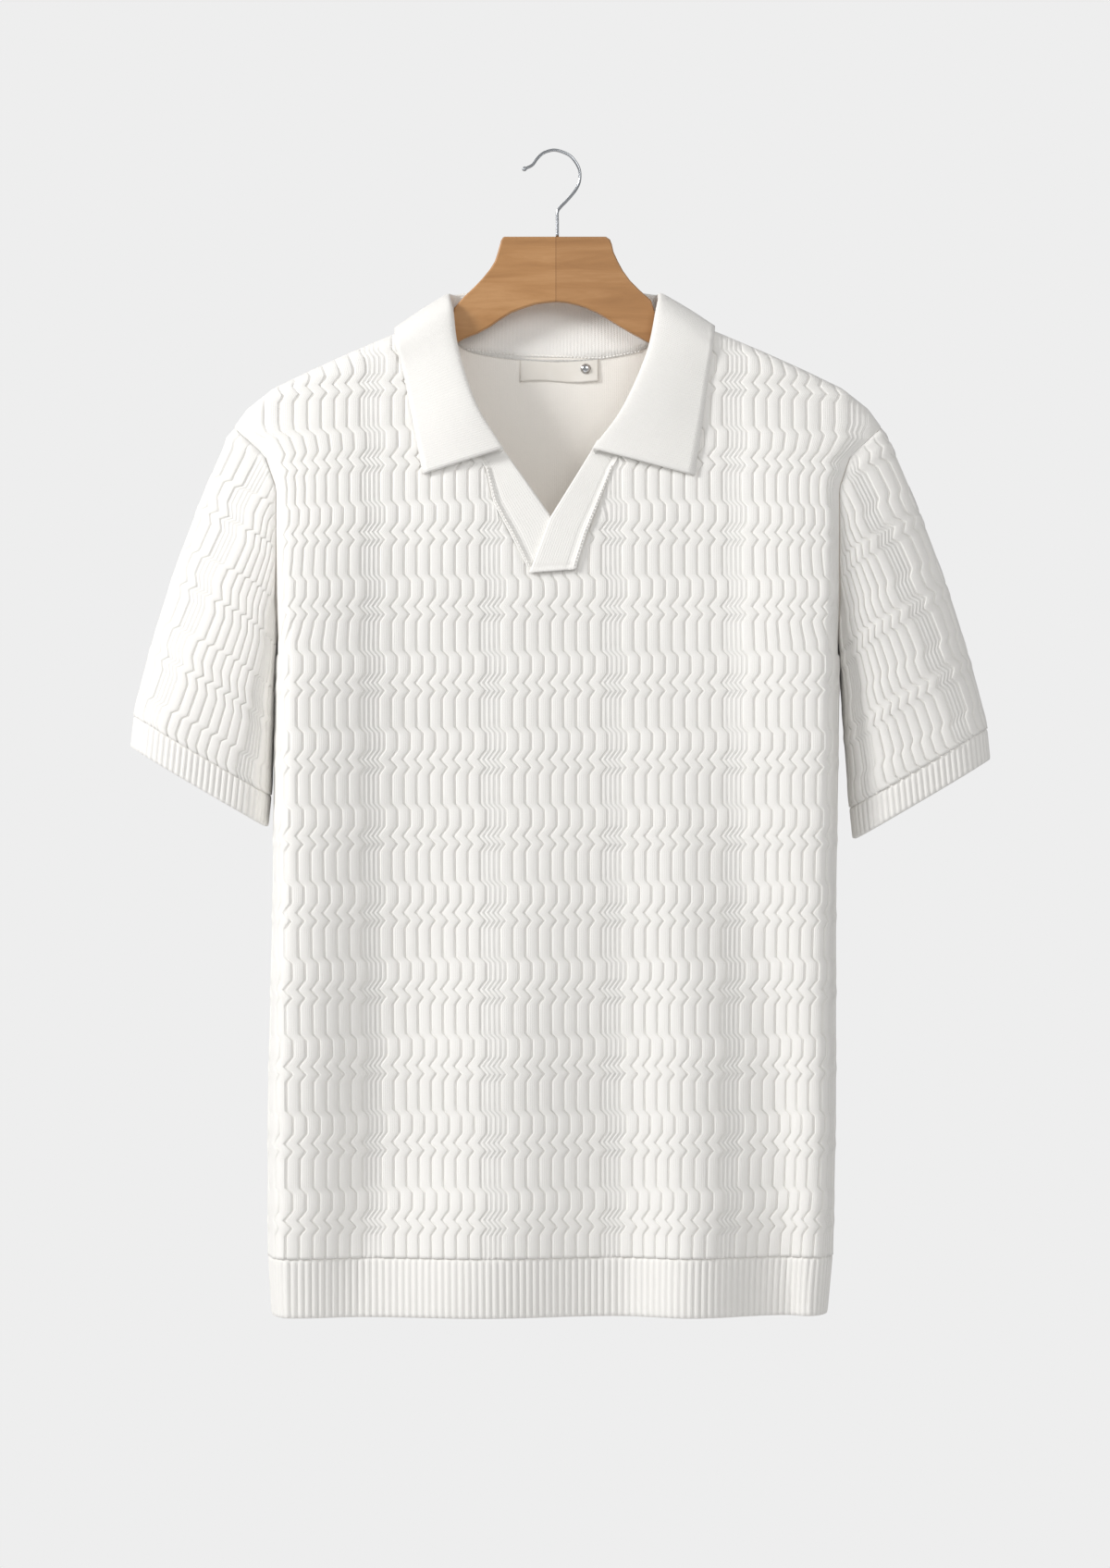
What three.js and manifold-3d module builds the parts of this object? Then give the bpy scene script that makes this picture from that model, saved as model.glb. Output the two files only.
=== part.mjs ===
// A rib-knit polo shirt that hangs on a wooden hanger with a wire hook.
// Millimetres, +Z up. The viewer looks along +Y, so the front panel is on the -Y side.
// The origin is the inside top of the hook, where a rail carries it.
import * as THREE from 'three';
import { mergeVertices } from 'three/addons/utils/BufferGeometryUtils.js';
import Module from 'manifold-3d';

const wasm = await Module();
wasm.setup();

// Cloth
const WALL = 1.8;
const RIB_HEIGHT = 1.4;
const NARROW_RIB_HEIGHT = 0.8;
const EDGE_RIB_HEIGHT = 0.9;
const GAP = 0.3;

// Levels
const HEM_Z = -853;
const BAND_Z = -810;
const ARMPIT_Z = -360;
const SHOULDER_END_Z = -204;
const CHEST_Z = -364;
const WAIST_Z = -718;

// Knit: groups of narrow ribs stand between runs of eight wide ribs.
const WIDE_RIB = 9.3;
const RIBS_IN_RUN = 8;
const GROUP_WIDTH = 14;
const REPEAT = WIDE_RIB * RIBS_IN_RUN + GROUP_WIDTH;
const FIRST_GROUP = -226.1;
const ROW_STEP = 55.8;
const SIDE_WALE = 247;
const ARMHOLE_WALE = 226;
const TUCK = 3;
const UNDERARM_ROWS = [ARMPIT_Z, -345, -325]; // extra rows where the side seam turns into the armhole
const HEM_RIB = 4.9;

// Shoulder roll over the hanger, and how far below it the cloth reaches its full depth
const ROLL = 10;
const SPREAD = 240;

// Half width to where the side starts to turn, radius and angle of that turn, and depth of each panel
const BODY = [
  { z: -204, left: 194, right: 194, corner: 70, turn: 38, front: 44, back: 42 },
  { z: -225, left: 194, right: 194, corner: 34, turn: 36, front: 44, back: 42 },
  { z: -249, left: 194, right: 194, corner: 20, turn: 35, front: 45, back: 43 },
  { z: -300, left: 194, right: 194, corner: 16, turn: 45, front: 46, back: 44 },
  { z: -345, left: 193, right: 193, corner: 14, turn: 65, front: 46, back: 44 },
  { z: -360, left: 192, right: 192, corner: 14, turn: 90, front: 46, back: 44 },
  { z: -550, left: 194, right: 189, corner: 14, turn: 90, front: 46, back: 44 },
  { z: -700, left: 197.5, right: 189, corner: 14, turn: 90, front: 46, back: 44 },
  { z: -810, left: 197.5, right: 187, corner: 14, turn: 90, front: 46, back: 44 },
  { z: -853, left: 195, right: 183, corner: 14, turn: 90, front: 46, back: 44 },
];

// Fold lines of each panel: place across and depth behind the panel's plane, at chest, waist and hem
const FOLDS = {
  front: [
    { name: 'left side', xChest: -190, xWaist: -189, xHem: -188, inChest: 0, inWaist: 0, inHem: 0 },
    { name: 'left trough', xChest: -104, xWaist: -121, xHem: -143, inChest: 14, inWaist: 15, inHem: 8 },
    { name: 'left ridge', xChest: -40, xWaist: -43, xHem: -56, inChest: 14.5, inWaist: 5, inHem: -2 },
    { name: 'middle trough', xChest: 40, xWaist: 45, xHem: 44, inChest: 15, inWaist: 15, inHem: 14 },
    { name: 'right ridge', xChest: 85, xWaist: 95, xHem: 97, inChest: 14, inWaist: 6, inHem: -1 },
    { name: 'right trough', xChest: 110, xWaist: 158, xHem: 168, inChest: 12.5, inWaist: 16, inHem: 19 },
    { name: 'right side', xChest: 186, xWaist: 187, xHem: 183, inChest: 0, inWaist: 8, inHem: 13 },
  ],
  back: [
    { name: 'left side', xChest: -188, xWaist: -188, xHem: -187, inChest: 0, inWaist: 4, inHem: 8 },
    { name: 'left trough', xChest: -120, xWaist: -138, xHem: -146, inChest: 11, inWaist: 15, inHem: 17 },
    { name: 'left ridge', xChest: -50, xWaist: -72, xHem: -80, inChest: 12, inWaist: 5, inHem: 0 },
    { name: 'middle trough', xChest: 10, xWaist: -8, xHem: -14, inChest: 13, inWaist: 14, inHem: 13 },
    { name: 'right ridge', xChest: 70, xWaist: 62, xHem: 58, inChest: 12, inWaist: 6, inHem: 2 },
    { name: 'right trough', xChest: 125, xWaist: 128, xHem: 132, inChest: 11, inWaist: 14, inHem: 14 },
    { name: 'right side', xChest: 186, xWaist: 186, xHem: 183, inChest: 0, inWaist: 2, inHem: 3 },
  ],
};

const SHOULDER = [
  { x: 0, z: -117 },
  { x: 80, z: -118 },
  { x: 118, z: -133 },
  { x: 150, z: -146.5 },
  { x: 180, z: -160 },
  { x: 209, z: -174 },
  { x: 228, z: -189 },
  { x: 239, z: -204 },
  { x: 300, z: -290 },
];

// Edge of each panel at the neck, from the left neck point to the right one
const NECK = {
  front: [
    { x: -83, z: -119 },
    { x: -81.5, z: -134 },
    { x: -72, z: -185 },
    { x: -53, z: -232 },
    { x: -47, z: -259 },
    { x: -32, z: -287 },
    { x: -19, z: -308 },
    { x: 11, z: -305 },
    { x: 31, z: -257 },
    { x: 40, z: -231 },
    { x: 60, z: -185 },
    { x: 78.5, z: -134 },
    { x: 80, z: -118 },
  ],
  back: [
    { x: -83, z: -119 },
    { x: -81, z: -134 },
    { x: -70, z: -143 },
    { x: -27, z: -147.6 },
    { x: 32, z: -149.6 },
    { x: 64, z: -144 },
    { x: 78, z: -134 },
    { x: 80, z: -118 },
  ],
};

// Sleeve opening: middle, reach to the outer end, depth, and the cuff's height
const CUFF = {
  left: { middle: [-263.4, 2, -467], reach: [-49.4, 0, 29], up: [0.1, 0, 1] },
  right: { middle: [267.4, 2, -476], reach: [49.4, 0, 29], up: [-0.1, 0, 1] },
};
const CUFF_DEPTH = 34;
const CUFF_HEIGHT = 23;
const CUFF_SQUARENESS = 2.6;
const SLEEVE_BULGE = 6.5;
const SLEEVE_RIBS = 36;
const CUFF_RIBS = 64;

// Collar sections from the left front end round the back to the right front end.
// seam: its join to the neck. fold: its top. edge: the free edge of the leaf. out: heading away from the neck.
const COLLAR = [
  { seamX: -43, seamZ: -225, foldX: -39.5, foldZ: -220, foldY: -27, edgeX: -98.6, edgeZ: -238.7, side: -1, out: -92 },
  { seamX: -63, seamZ: -196, foldX: -60, foldZ: -186, foldY: -27, edgeX: -106, edgeZ: -200, side: -1, out: -105 },
  { seamX: -74, seamZ: -158, foldX: -74, foldZ: -143, foldY: -20, edgeX: -113.5, edgeZ: -162, side: -1, out: -125 },
  { seamX: -79.5, seamZ: -130, foldX: -78, foldZ: -116, foldY: -14, edgeX: -119, edgeZ: -142, side: -1, out: -150 },
  { seamX: -82.5, seamZ: -115.5, foldX: -80, foldZ: -105, foldY: 0, edgeX: -119, edgeZ: -129, side: 0, out: 180 },
  { seamX: -79, seamZ: -129, foldX: -76, foldZ: -104, foldY: 13, edgeX: -111, edgeZ: -146, side: 1, out: 140 },
  { seamX: -60, seamZ: -142, foldX: -60, foldZ: -102, foldY: 18, edgeX: -90, edgeZ: -168, side: 1, out: 115 },
  { seamX: 0, seamZ: -148, foldX: 0, foldZ: -101, foldY: 22, edgeX: 0, edgeZ: -176, side: 1, out: 90 },
  { seamX: 54, seamZ: -142, foldX: 54, foldZ: -102, foldY: 18, edgeX: 84, edgeZ: -168, side: 1, out: 65 },
  { seamX: 75.5, seamZ: -129, foldX: 72, foldZ: -104, foldY: 13, edgeX: 106, edgeZ: -146, side: 1, out: 40 },
  { seamX: 78.5, seamZ: -114.5, foldX: 75, foldZ: -104.5, foldY: 0, edgeX: 115, edgeZ: -128, side: 0, out: 0 },
  { seamX: 76.5, seamZ: -130, foldX: 73, foldZ: -116, foldY: -14, edgeX: 114, edgeZ: -142, side: -1, out: -30 },
  { seamX: 65, seamZ: -162, foldX: 66, foldZ: -148, foldY: -20, edgeX: 111, edgeZ: -162, side: -1, out: -55 },
  { seamX: 50, seamZ: -200, foldX: 47, foldZ: -190, foldY: -27, edgeX: 106, edgeZ: -200, side: -1, out: -75 },
  { seamX: 29, seamZ: -225, foldX: 25, foldZ: -220, foldY: -27, edgeX: 100, edgeZ: -239.4, side: -1, out: -88 },
];
const COLLAR_WALL = 1.5;
const COLLAR_LIFT = 4;
const FOLD_LOOP = 2.6;

// Placket strips from the collar down to the bottom of the V: inner and outer edge of each section
const PLACKET = {
  under: [
    { innerX: -38.5, innerZ: -222, outerX: -50.5, outerZ: -233.5 },
    { innerX: -22, innerZ: -245, outerX: -45.2, outerZ: -258.5 },
    { innerX: -4, innerZ: -271, outerX: -30.5, outerZ: -285.5 },
    { innerX: 4, innerZ: -301.5, outerX: -14.5, outerZ: -305 },
  ],
  over: [
    { innerX: 24, innerZ: -222, outerX: 38, outerZ: -233 },
    { innerX: 10, innerZ: -245, outerX: 29.5, outerZ: -256.5 },
    { innerX: -5.8, innerZ: -270.6, outerX: 19.5, outerZ: -281 },
    { innerX: -17, innerZ: -304.5, outerX: 8, outerZ: -301.5 },
  ],
};
const OVERLAP = 2.3;

// Label and snap inside the back neck
const LABEL = { left: -27.9, right: 30.3, top: -150.5, bottom: -168, wall: 0.9, proud: 0.45 };
const SNAP = { x: 20.7, z: -158.5, radius: 3.8, height: 1.6 };

// Hanger
const WOOD_HALF = 5;
const WOOD_EASE = 1.2;
const WOOD_UNDER_SHOULDER = 6;
const WOOD_ARM_HEIGHT = 24;
const WOOD_END = 212;
const WIRE_RADIUS = 1.15;
const BALL_RADIUS = 1.8;
const WIRE_STEPS = 40;
const WIRE_SIDES = 8;
const HOOK = [
  { x: -24.5, z: -12.7 },
  { x: -18.8, z: -9.9 },
  { x: -15.2, z: -5.1 },
  { x: -11.2, z: -1.4 },
  { x: -6.7, z: 0.5 },
  { x: -2.2, z: 1.15 },
  { x: 3.4, z: -0.2 },
  { x: 9.1, z: -3.1 },
  { x: 13.1, z: -7.6 },
  { x: 15.6, z: -12.4 },
  { x: 16.3, z: -17.5 },
  { x: 15.6, z: -23.1 },
  { x: 13.1, z: -28.2 },
  { x: 9.7, z: -32.6 },
  { x: 5.7, z: -37 },
  { x: 1.8, z: -41 },
  { x: -0.3, z: -44.5 },
  { x: -0.3, z: -62.6 },
];

const DEGREE = Math.PI / 180;
const SIDES = { front: -1, back: 1 };
const RANK_OF_TOP = 1000;

// Smooth reading of one column of a table at a place between its rows
function read(table, key, at, column) {
  const rising = table[0][key] < table[table.length - 1][key];
  const rows = rising ? table : [...table].reverse();
  const last = rows.length - 1;
  if (at <= rows[0][key]) return rows[0][column];
  if (at >= rows[last][key]) return rows[last][column];
  const i = rows.findIndex((row) => row[key] > at) - 1;
  const slope = (j) => {
    const low = rows[Math.max(j - 1, 0)];
    const high = rows[Math.min(j + 1, last)];
    return (high[column] - low[column]) / (high[key] - low[key]);
  };
  const span = rows[i + 1][key] - rows[i][key];
  const t = (at - rows[i][key]) / span;
  const t2 = t * t;
  const t3 = t2 * t;
  return (2 * t3 - 3 * t2 + 1) * rows[i][column] + (t3 - 2 * t2 + t) * span * slope(i)
    + (3 * t2 - 2 * t3) * rows[i + 1][column] + (t3 - t2) * span * slope(i + 1);
}

// Straight reading, for outlines with corners
function readStraight(rows, key, at, column) {
  const above = rows.findIndex((row) => row[key] > at);
  const i = above < 0 ? rows.length - 1 : Math.max(above, 1);
  const t = (at - rows[i - 1][key]) / (rows[i][key] - rows[i - 1][key]);
  return THREE.MathUtils.lerp(rows[i - 1][column], rows[i][column], t);
}

function shoulderZ(x) {
  return read(SHOULDER, 'x', Math.abs(x), 'z');
}

// How far the cloth lies behind its panel's plane at a place, from the fold lines
function sink(panel, x, z) {
  const toWaist = THREE.MathUtils.smoothstep(-z, -CHEST_Z, -WAIST_Z);
  const toHem = THREE.MathUtils.smoothstep(-z, -WAIST_Z, -HEM_Z);
  const lines = FOLDS[panel].map((fold) => ({
    x: fold.xChest + (fold.xWaist - fold.xChest) * toWaist + (fold.xHem - fold.xWaist) * toHem,
    depth: fold.inChest + (fold.inWaist - fold.inChest) * toWaist + (fold.inHem - fold.inWaist) * toHem,
  }));
  if (x <= lines[0].x) return lines[0].depth;
  const i = lines.findIndex((line) => line.x > x);
  if (i < 0) return lines[lines.length - 1].depth;
  const t = (x - lines[i - 1].x) / (lines[i].x - lines[i - 1].x);
  const ease = (1 - Math.cos(Math.PI * t)) / 2;
  return THREE.MathUtils.lerp(lines[i - 1].depth, lines[i].depth, ease);
}

// Depth of a panel at a place, from the plane between front and back
function depth(panel, x, z, turned = 1) {
  const full = read(BODY, 'z', z, panel) - sink(panel, x, z);
  const below = Math.max(shoulderZ(x) - z, 0);
  const roll = ROLL * Math.sqrt(1 - (1 - Math.min(below / ROLL, 1)) ** 2);
  const spread = Math.sin((Math.PI / 2) * Math.min(below / SPREAD, 1));
  return (roll + (full - ROLL) * spread) * turned + GAP / 2;
}

const sections = new Map();

// Half a section of the body from its middle to one edge, measured along the cloth
function section(panel, hand, z) {
  const name = `${panel} ${hand} ${z.toFixed(3)}`;
  if (sections.has(name)) return sections.get(name);
  const flat = read(BODY, 'z', z, hand < 0 ? 'left' : 'right');
  const corner = read(BODY, 'z', z, 'corner');
  const turn = Math.min(read(BODY, 'z', z, 'turn'), 90) * DEGREE;
  const plane = read(BODY, 'z', z, panel);
  const path = [];
  const flatSteps = 48;
  const cornerSteps = 14;
  for (let i = 0; i <= flatSteps; i += 1) {
    path.push({ x: (flat * i) / flatSteps, turned: 1 });
  }
  for (let i = 1; i <= cornerSteps; i += 1) {
    const angle = (turn * i) / cornerSteps;
    path.push({ x: flat + corner * Math.sin(angle), turned: Math.cos(angle) });
  }
  let length = 0;
  path.forEach((step, i) => {
    step.y = (plane - sink(panel, hand * step.x, z)) * step.turned;
    if (i > 0) length += Math.hypot(step.x - path[i - 1].x, step.y - path[i - 1].y);
    step.length = length;
  });
  sections.set(name, { path, length });
  return sections.get(name);
}

// Length along the cloth where a wale lies. Above the armpit the outermost wales are tucked into the seam.
function waleLength(wale, length, z) {
  const pull = (reach, total) => {
    const share = wale / reach;
    const ratio = reach / total;
    return total * (ratio * share + (1 - ratio) * share ** 7);
  };
  if (z <= ARMPIT_Z) return pull(SIDE_WALE, length);
  const rise = THREE.MathUtils.smoothstep(z, ARMPIT_Z, ARMPIT_Z + 40);
  const tuck = THREE.MathUtils.lerp(SIDE_WALE - ARMHOLE_WALE, TUCK, rise);
  if (wale < ARMHOLE_WALE) return pull(ARMHOLE_WALE, length - tuck);
  return length - tuck * ((SIDE_WALE - wale) / (SIDE_WALE - ARMHOLE_WALE));
}

// Point of a panel's ground at a wale and a height
function panelPoint(panel, wale, z) {
  const hand = wale < 0 ? -1 : 1;
  const { path, length } = section(panel, hand, z);
  const at = Math.min(waleLength(Math.abs(wale), length, z), length);
  const i = Math.max(path.findIndex((step) => step.length >= at - 1e-9), 1);
  const t = (at - path[i - 1].length) / (path[i].length - path[i - 1].length);
  const x = hand * THREE.MathUtils.lerp(path[i - 1].x, path[i].x, t);
  const turned = THREE.MathUtils.lerp(path[i - 1].turned, path[i].turned, t);
  return new THREE.Vector3(x, SIDES[panel] * depth(panel, x, z, turned), z);
}

// The top of a panel over a wale: its shoulder seam, or its neck edge
function panelTop(panel, wale) {
  let z = SHOULDER_END_Z + 1;
  for (let i = 0; i < 4; i += 1) {
    const { x } = panelPoint(panel, wale, z);
    const neck = NECK[panel];
    const inNeck = x > neck[0].x && x < neck[neck.length - 1].x;
    z = inNeck ? readStraight(neck, 'x', x, 'z') : shoulderZ(x);
    z -= inNeck ? 0 : 0.01;
  }
  return z;
}

// Point moved out from the cloth's ground along its normal. At a seam the move stays in the seam's plane.
function moved(surface, a, b, amount, box, outward, inSeam) {
  const step = 0.4;
  const da = surface(Math.min(a + step, box.aMax), b).sub(surface(Math.max(a - step, box.aMin), b));
  const db = surface(a, Math.min(b + step, box.bMax)).sub(surface(a, Math.max(b - step, box.bMin)));
  const normal = da.cross(db).multiplyScalar(outward);
  if (inSeam) normal.y = 0;
  return surface(a, b).addScaledVector(normal.normalize(), amount);
}

// Strip of triangles between two chains that run the same way
function zip(faces, left, right) {
  let i = 0;
  let j = 0;
  while (i < left.length - 1 || j < right.length - 1) {
    const climbsLeft = j === right.length - 1 || (i < left.length - 1 && left[i + 1].at <= right[j + 1].at);
    if (climbsLeft) {
      faces.push(left[i].id, right[j].id, left[i + 1].id);
      i += 1;
    } else {
      faces.push(left[i].id, right[j].id, right[j + 1].id);
      j += 1;
    }
  }
}

function volume(points, faces) {
  let sum = 0;
  for (let i = 0; i < faces.length; i += 3) {
    const [a, b, c] = [points[faces[i]], points[faces[i + 1]], points[faces[i + 2]]];
    sum += a.dot(new THREE.Vector3().crossVectors(b, c));
  }
  return sum;
}

function toGeometry(points, faces) {
  const order = volume(points, faces) > 0 ? faces : faces.slice().reverse();
  const geometry = new THREE.BufferGeometry();
  geometry.setAttribute('position', new THREE.Float32BufferAttribute(points.flatMap((p) => p.toArray()), 3));
  geometry.setIndex(order);
  return geometry;
}

// Closed wall of cloth from columns of points on its outside and its inside.
// Each column is { at, rows: [{ at, point }] } from bottom to top. A ring of columns makes a tube.
function clothWall(outside, inside, ring = false) {
  const points = [];
  const faces = [];
  const number = (columns) => columns.map((column) => ({
    at: column.at,
    rows: column.rows.map(({ at, point }) => {
      points.push(point);
      return { id: points.length - 1, at };
    }),
  }));
  const outer = number(outside);
  const inner = number(inside);
  const pairs = (columns) => columns.map((column, i) => [column, columns[i + 1] ?? columns[0]])
    .slice(0, ring ? columns.length : columns.length - 1);
  pairs(outer).forEach(([a, b]) => zip(faces, a.rows, b.rows));
  pairs(inner).forEach(([a, b]) => zip(faces, b.rows, a.rows));
  const chain = (columns, pick) => {
    const links = columns.map((column) => ({ id: pick(column.rows).id, at: column.at }));
    return ring ? [...links, { id: links[0].id, at: Infinity }] : links;
  };
  const bottom = (rows) => rows[0];
  const top = (rows) => rows[rows.length - 1];
  zip(faces, chain(outer, bottom), chain(inner, bottom));
  zip(faces, chain(inner, top), chain(outer, top));
  if (!ring) {
    zip(faces, inner[0].rows, outer[0].rows);
    zip(faces, outer[outer.length - 1].rows, inner[inner.length - 1].rows);
  }
  return toGeometry(points, faces);
}

// Wales of a panel with their rib height: valley and crown of each wide rib, and each narrow group
function wales() {
  const list = [];
  for (let group = FIRST_GROUP - REPEAT; group < SIDE_WALE; group += REPEAT) {
    list.push({ wale: group, lift: NARROW_RIB_HEIGHT });
    for (let i = 0; i <= RIBS_IN_RUN; i += 1) {
      const valley = group + GROUP_WIDTH / 2 + i * WIDE_RIB;
      list.push({ wale: valley, lift: 0 });
      if (i < RIBS_IN_RUN) list.push({ wale: valley + WIDE_RIB / 2, lift: RIB_HEIGHT });
    }
  }
  const inside = list.filter(({ wale }) => Math.abs(wale) < SIDE_WALE - 2);
  return [{ wale: -SIDE_WALE, lift: 0 }, ...inside, { wale: SIDE_WALE, lift: 0 }];
}

function endsAtShoulder(panel, wale, top) {
  return Math.abs(top - shoulderZ(panelPoint(panel, wale, top).x)) < 1;
}

function panelRows(panel, wale, step) {
  const top = panelTop(panel, wale);
  const atShoulder = endsAtShoulder(panel, wale, top);
  const rows = [];
  const curved = Math.abs(wale) > ARMHOLE_WALE - 50;
  for (let z = BAND_Z + GAP / 2; z < top - (atShoulder ? 12 : 8);) {
    rows.push(z);
    z += curved && z > SHOULDER_END_Z - 60 ? ROW_STEP / 7 : step;
  }
  if (Math.abs(wale) > ARMHOLE_WALE - 30) {
    const extra = Math.abs(wale) > ARMHOLE_WALE ? [...UNDERARM_ROWS, -285] : UNDERARM_ROWS;
    rows.push(...extra.filter((z) => rows.every((other) => Math.abs(other - z) > 4)));
    rows.sort((one, other) => one - other);
  }
  if (atShoulder) rows.push(top - ROLL * 0.9, top - ROLL * 0.25);
  rows.push(top);
  return rows;
}

// Rank of a row, so that the rows at the shoulder roll meet their like in the next column
function rowRank(rows, i, top, atShoulder) {
  const fromTop = rows.length - 1 - i;
  return atShoulder && top - rows[i] < ROLL ? RANK_OF_TOP - fromTop : rows[i];
}

// Ribs sink into the cloth at the armhole seam and at the panel's top.
function ribShare(wale, z, top) {
  const nearTop = THREE.MathUtils.clamp((top - z) / ROLL, 0, 1);
  if (z < ARMPIT_Z - ROLL) return nearTop;
  return nearTop * THREE.MathUtils.clamp((ARMHOLE_WALE - 6 - Math.abs(wale)) / 8, 0, 1);
}

function panelWall(panel) {
  const surface = (wale, z) => panelPoint(panel, wale, z);
  const column = ({ wale, lift }, amount, step) => {
    const edge = Math.abs(wale) === SIDE_WALE;
    const zs = panelRows(panel, wale, step);
    const top = zs[zs.length - 1];
    const box = { aMin: -SIDE_WALE, aMax: SIDE_WALE, bMin: HEM_Z, bMax: top };
    const rows = zs.map((z, i) => {
      const raised = amount + lift * ribShare(wale, z, top);
      const inSeam = (edge && z <= ARMPIT_Z) || z === top;
      const point = moved(surface, wale, z, raised, box, -SIDES[panel], inSeam);
      return { at: rowRank(zs, i, top, endsAtShoulder(panel, wale, top)), point };
    });
    return { at: wale, rows };
  };
  const edgeStep = ROW_STEP / 8;
  const all = wales();
  const stepOf = ({ wale }, step) => (Math.abs(wale) === SIDE_WALE ? edgeStep : step);
  const outer = all.map((entry) => column(entry, 0, stepOf(entry, ROW_STEP)));
  const nearNeck = ({ wale }) => Math.abs(wale) > 66 && Math.abs(wale) < 98;
  const few = all.filter((entry, i) => i % 4 === 0 || nearNeck(entry) || i === all.length - 1);
  const inner = few.map(({ wale }) => column({ wale, lift: 0 }, -WALL, stepOf({ wale }, ROW_STEP)));
  return clothWall(outer, inner);
}

function hemBand(panel) {
  const surface = (wale, z) => panelPoint(panel, wale, z);
  const box = { aMin: -SIDE_WALE, aMax: SIDE_WALE, bMin: HEM_Z, bMax: BAND_Z };
  const count = 2 * Math.round(SIDE_WALE / HEM_RIB) * 2;
  const column = (i, of, amount, ribbed) => {
    const wale = -SIDE_WALE + (2 * SIDE_WALE * i) / of;
    const edge = i === 0 || i === of;
    const lift = ribbed && i % 2 === 1 && !edge ? EDGE_RIB_HEIGHT : 0;
    const rows = [HEM_Z, BAND_Z - GAP / 2].map((z) => (
      { at: z, point: moved(surface, wale, z, amount + lift, box, -SIDES[panel], edge) }
    ));
    return { at: wale, rows };
  };
  const outer = Array.from({ length: count + 1 }, (none, i) => column(i, count, 0, true));
  const fewer = 40;
  const inner = Array.from({ length: fewer + 1 }, (none, i) => column(i, fewer, -WALL, false));
  return clothWall(outer, inner);
}

// Place at a share of the length of a closed line
function alongRing(line) {
  const steps = [0];
  line.forEach((point, i) => {
    const next = line[(i + 1) % line.length];
    steps.push(steps[i] + point.distanceTo(next));
  });
  const total = steps[line.length];
  return (share) => {
    const at = (((share % 1) + 1) % 1) * total;
    const i = Math.min(steps.findIndex((step) => step > at), line.length) - 1;
    const t = (at - steps[i]) / (steps[i + 1] - steps[i]);
    return line[i].clone().lerp(line[(i + 1) % line.length], t);
  };
}

// Seam round an armhole, from the shoulder down the front and up the back
function armholeLine(hand) {
  const levels = [];
  const steps = 30;
  for (let i = 0; i <= steps; i += 1) {
    levels.push(THREE.MathUtils.lerp(panelTop('front', hand * SIDE_WALE), ARMPIT_Z, i / steps));
  }
  const side = (panel, zs) => zs.map((z) => panelPoint(panel, hand * SIDE_WALE, z));
  const line = [...side('front', levels), ...side('back', levels.slice(0, -1).reverse())];
  return line.map((point) => point.add(new THREE.Vector3(hand * 4 * GAP, 0, 0)));
}

function cuffLine(cuff, height) {
  const middle = new THREE.Vector3(...cuff.middle).addScaledVector(new THREE.Vector3(...cuff.up), height);
  const reach = new THREE.Vector3(...cuff.reach);
  const steps = 96;
  const power = 2 / CUFF_SQUARENESS;
  return Array.from({ length: steps }, (none, i) => {
    const angle = (2 * Math.PI * i) / steps;
    const across = Math.sign(Math.cos(angle)) * Math.abs(Math.cos(angle)) ** power;
    const forward = Math.sign(Math.sin(angle)) * Math.abs(Math.sin(angle)) ** power;
    const depthStep = new THREE.Vector3(0, -CUFF_DEPTH * forward, 0);
    return middle.clone().addScaledVector(reach, across).add(depthStep);
  });
}

// The sleeve's ground: share runs round from the outer edge over the front, rise from its cuff to the armhole
function sleeveSurface(hand) {
  const cuff = hand < 0 ? CUFF.left : CUFF.right;
  const low = alongRing(cuffLine(cuff, CUFF_HEIGHT + GAP));
  const high = alongRing(armholeLine(hand));
  return (share, rise) => {
    const angle = 2 * Math.PI * share;
    const bulge = SLEEVE_BULGE * Math.sin(Math.PI * rise) ** 0.8;
    const outward = new THREE.Vector3(hand * Math.max(Math.cos(angle), 0), -0.6 * Math.sin(angle), 0);
    return low(share).lerp(high(share), rise).addScaledVector(outward, bulge);
  };
}

function sleeveWall(hand) {
  const surface = sleeveSurface(hand);
  const box = { aMin: -1, aMax: 2, bMin: 0, bMax: 1 };
  const ringMiddle = new THREE.Vector3(0, 0, (SHOULDER_END_Z + ARMPIT_Z) / 2);
  const cuffMiddle = surface(0, 0).add(surface(0.5, 0)).multiplyScalar(0.5);
  const step = 0.004;
  const place = (share, rise, amount) => {
    const point = surface(share, rise);
    if (rise === 1) {
      const inward = ringMiddle.clone().setX(point.x).sub(point).normalize();
      return amount < 0 ? point.addScaledVector(inward, -amount * 1.4) : point;
    }
    if (rise === 0) return point.addScaledVector(point.clone().sub(cuffMiddle).normalize(), amount);
    const round = surface(share + step, rise).sub(surface(share - step, rise));
    const along = surface(share, Math.min(rise + step, box.bMax)).sub(surface(share, Math.max(rise - step, 0)));
    return point.addScaledVector(round.cross(along).multiplyScalar(-hand).normalize(), amount);
  };
  const column = (share, amount, lift) => {
    const length = surface(share, 0).distanceTo(surface(share, 1));
    const rows = [];
    for (let distance = 0; distance < length - 14; distance += ROW_STEP) {
      const rise = distance / length;
      const fade = 1 - THREE.MathUtils.smoothstep(rise, 0.8, 1);
      rows.push({ at: distance, point: place(share, rise, amount + lift * fade) });
    }
    rows.push({ at: length, point: place(share, 1, amount) });
    return { at: share, rows };
  };
  const count = SLEEVE_RIBS * 2;
  const liftOf = (i) => (i % 2 === 0 ? 0 : i % 18 === 9 ? NARROW_RIB_HEIGHT : RIB_HEIGHT);
  const outer = Array.from({ length: count }, (none, i) => column(i / count, 0, liftOf(i)));
  const fewer = count / 3;
  const inner = Array.from({ length: fewer }, (none, i) => column(i / fewer, -WALL, 0));
  return clothWall(outer, inner, true);
}

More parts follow.
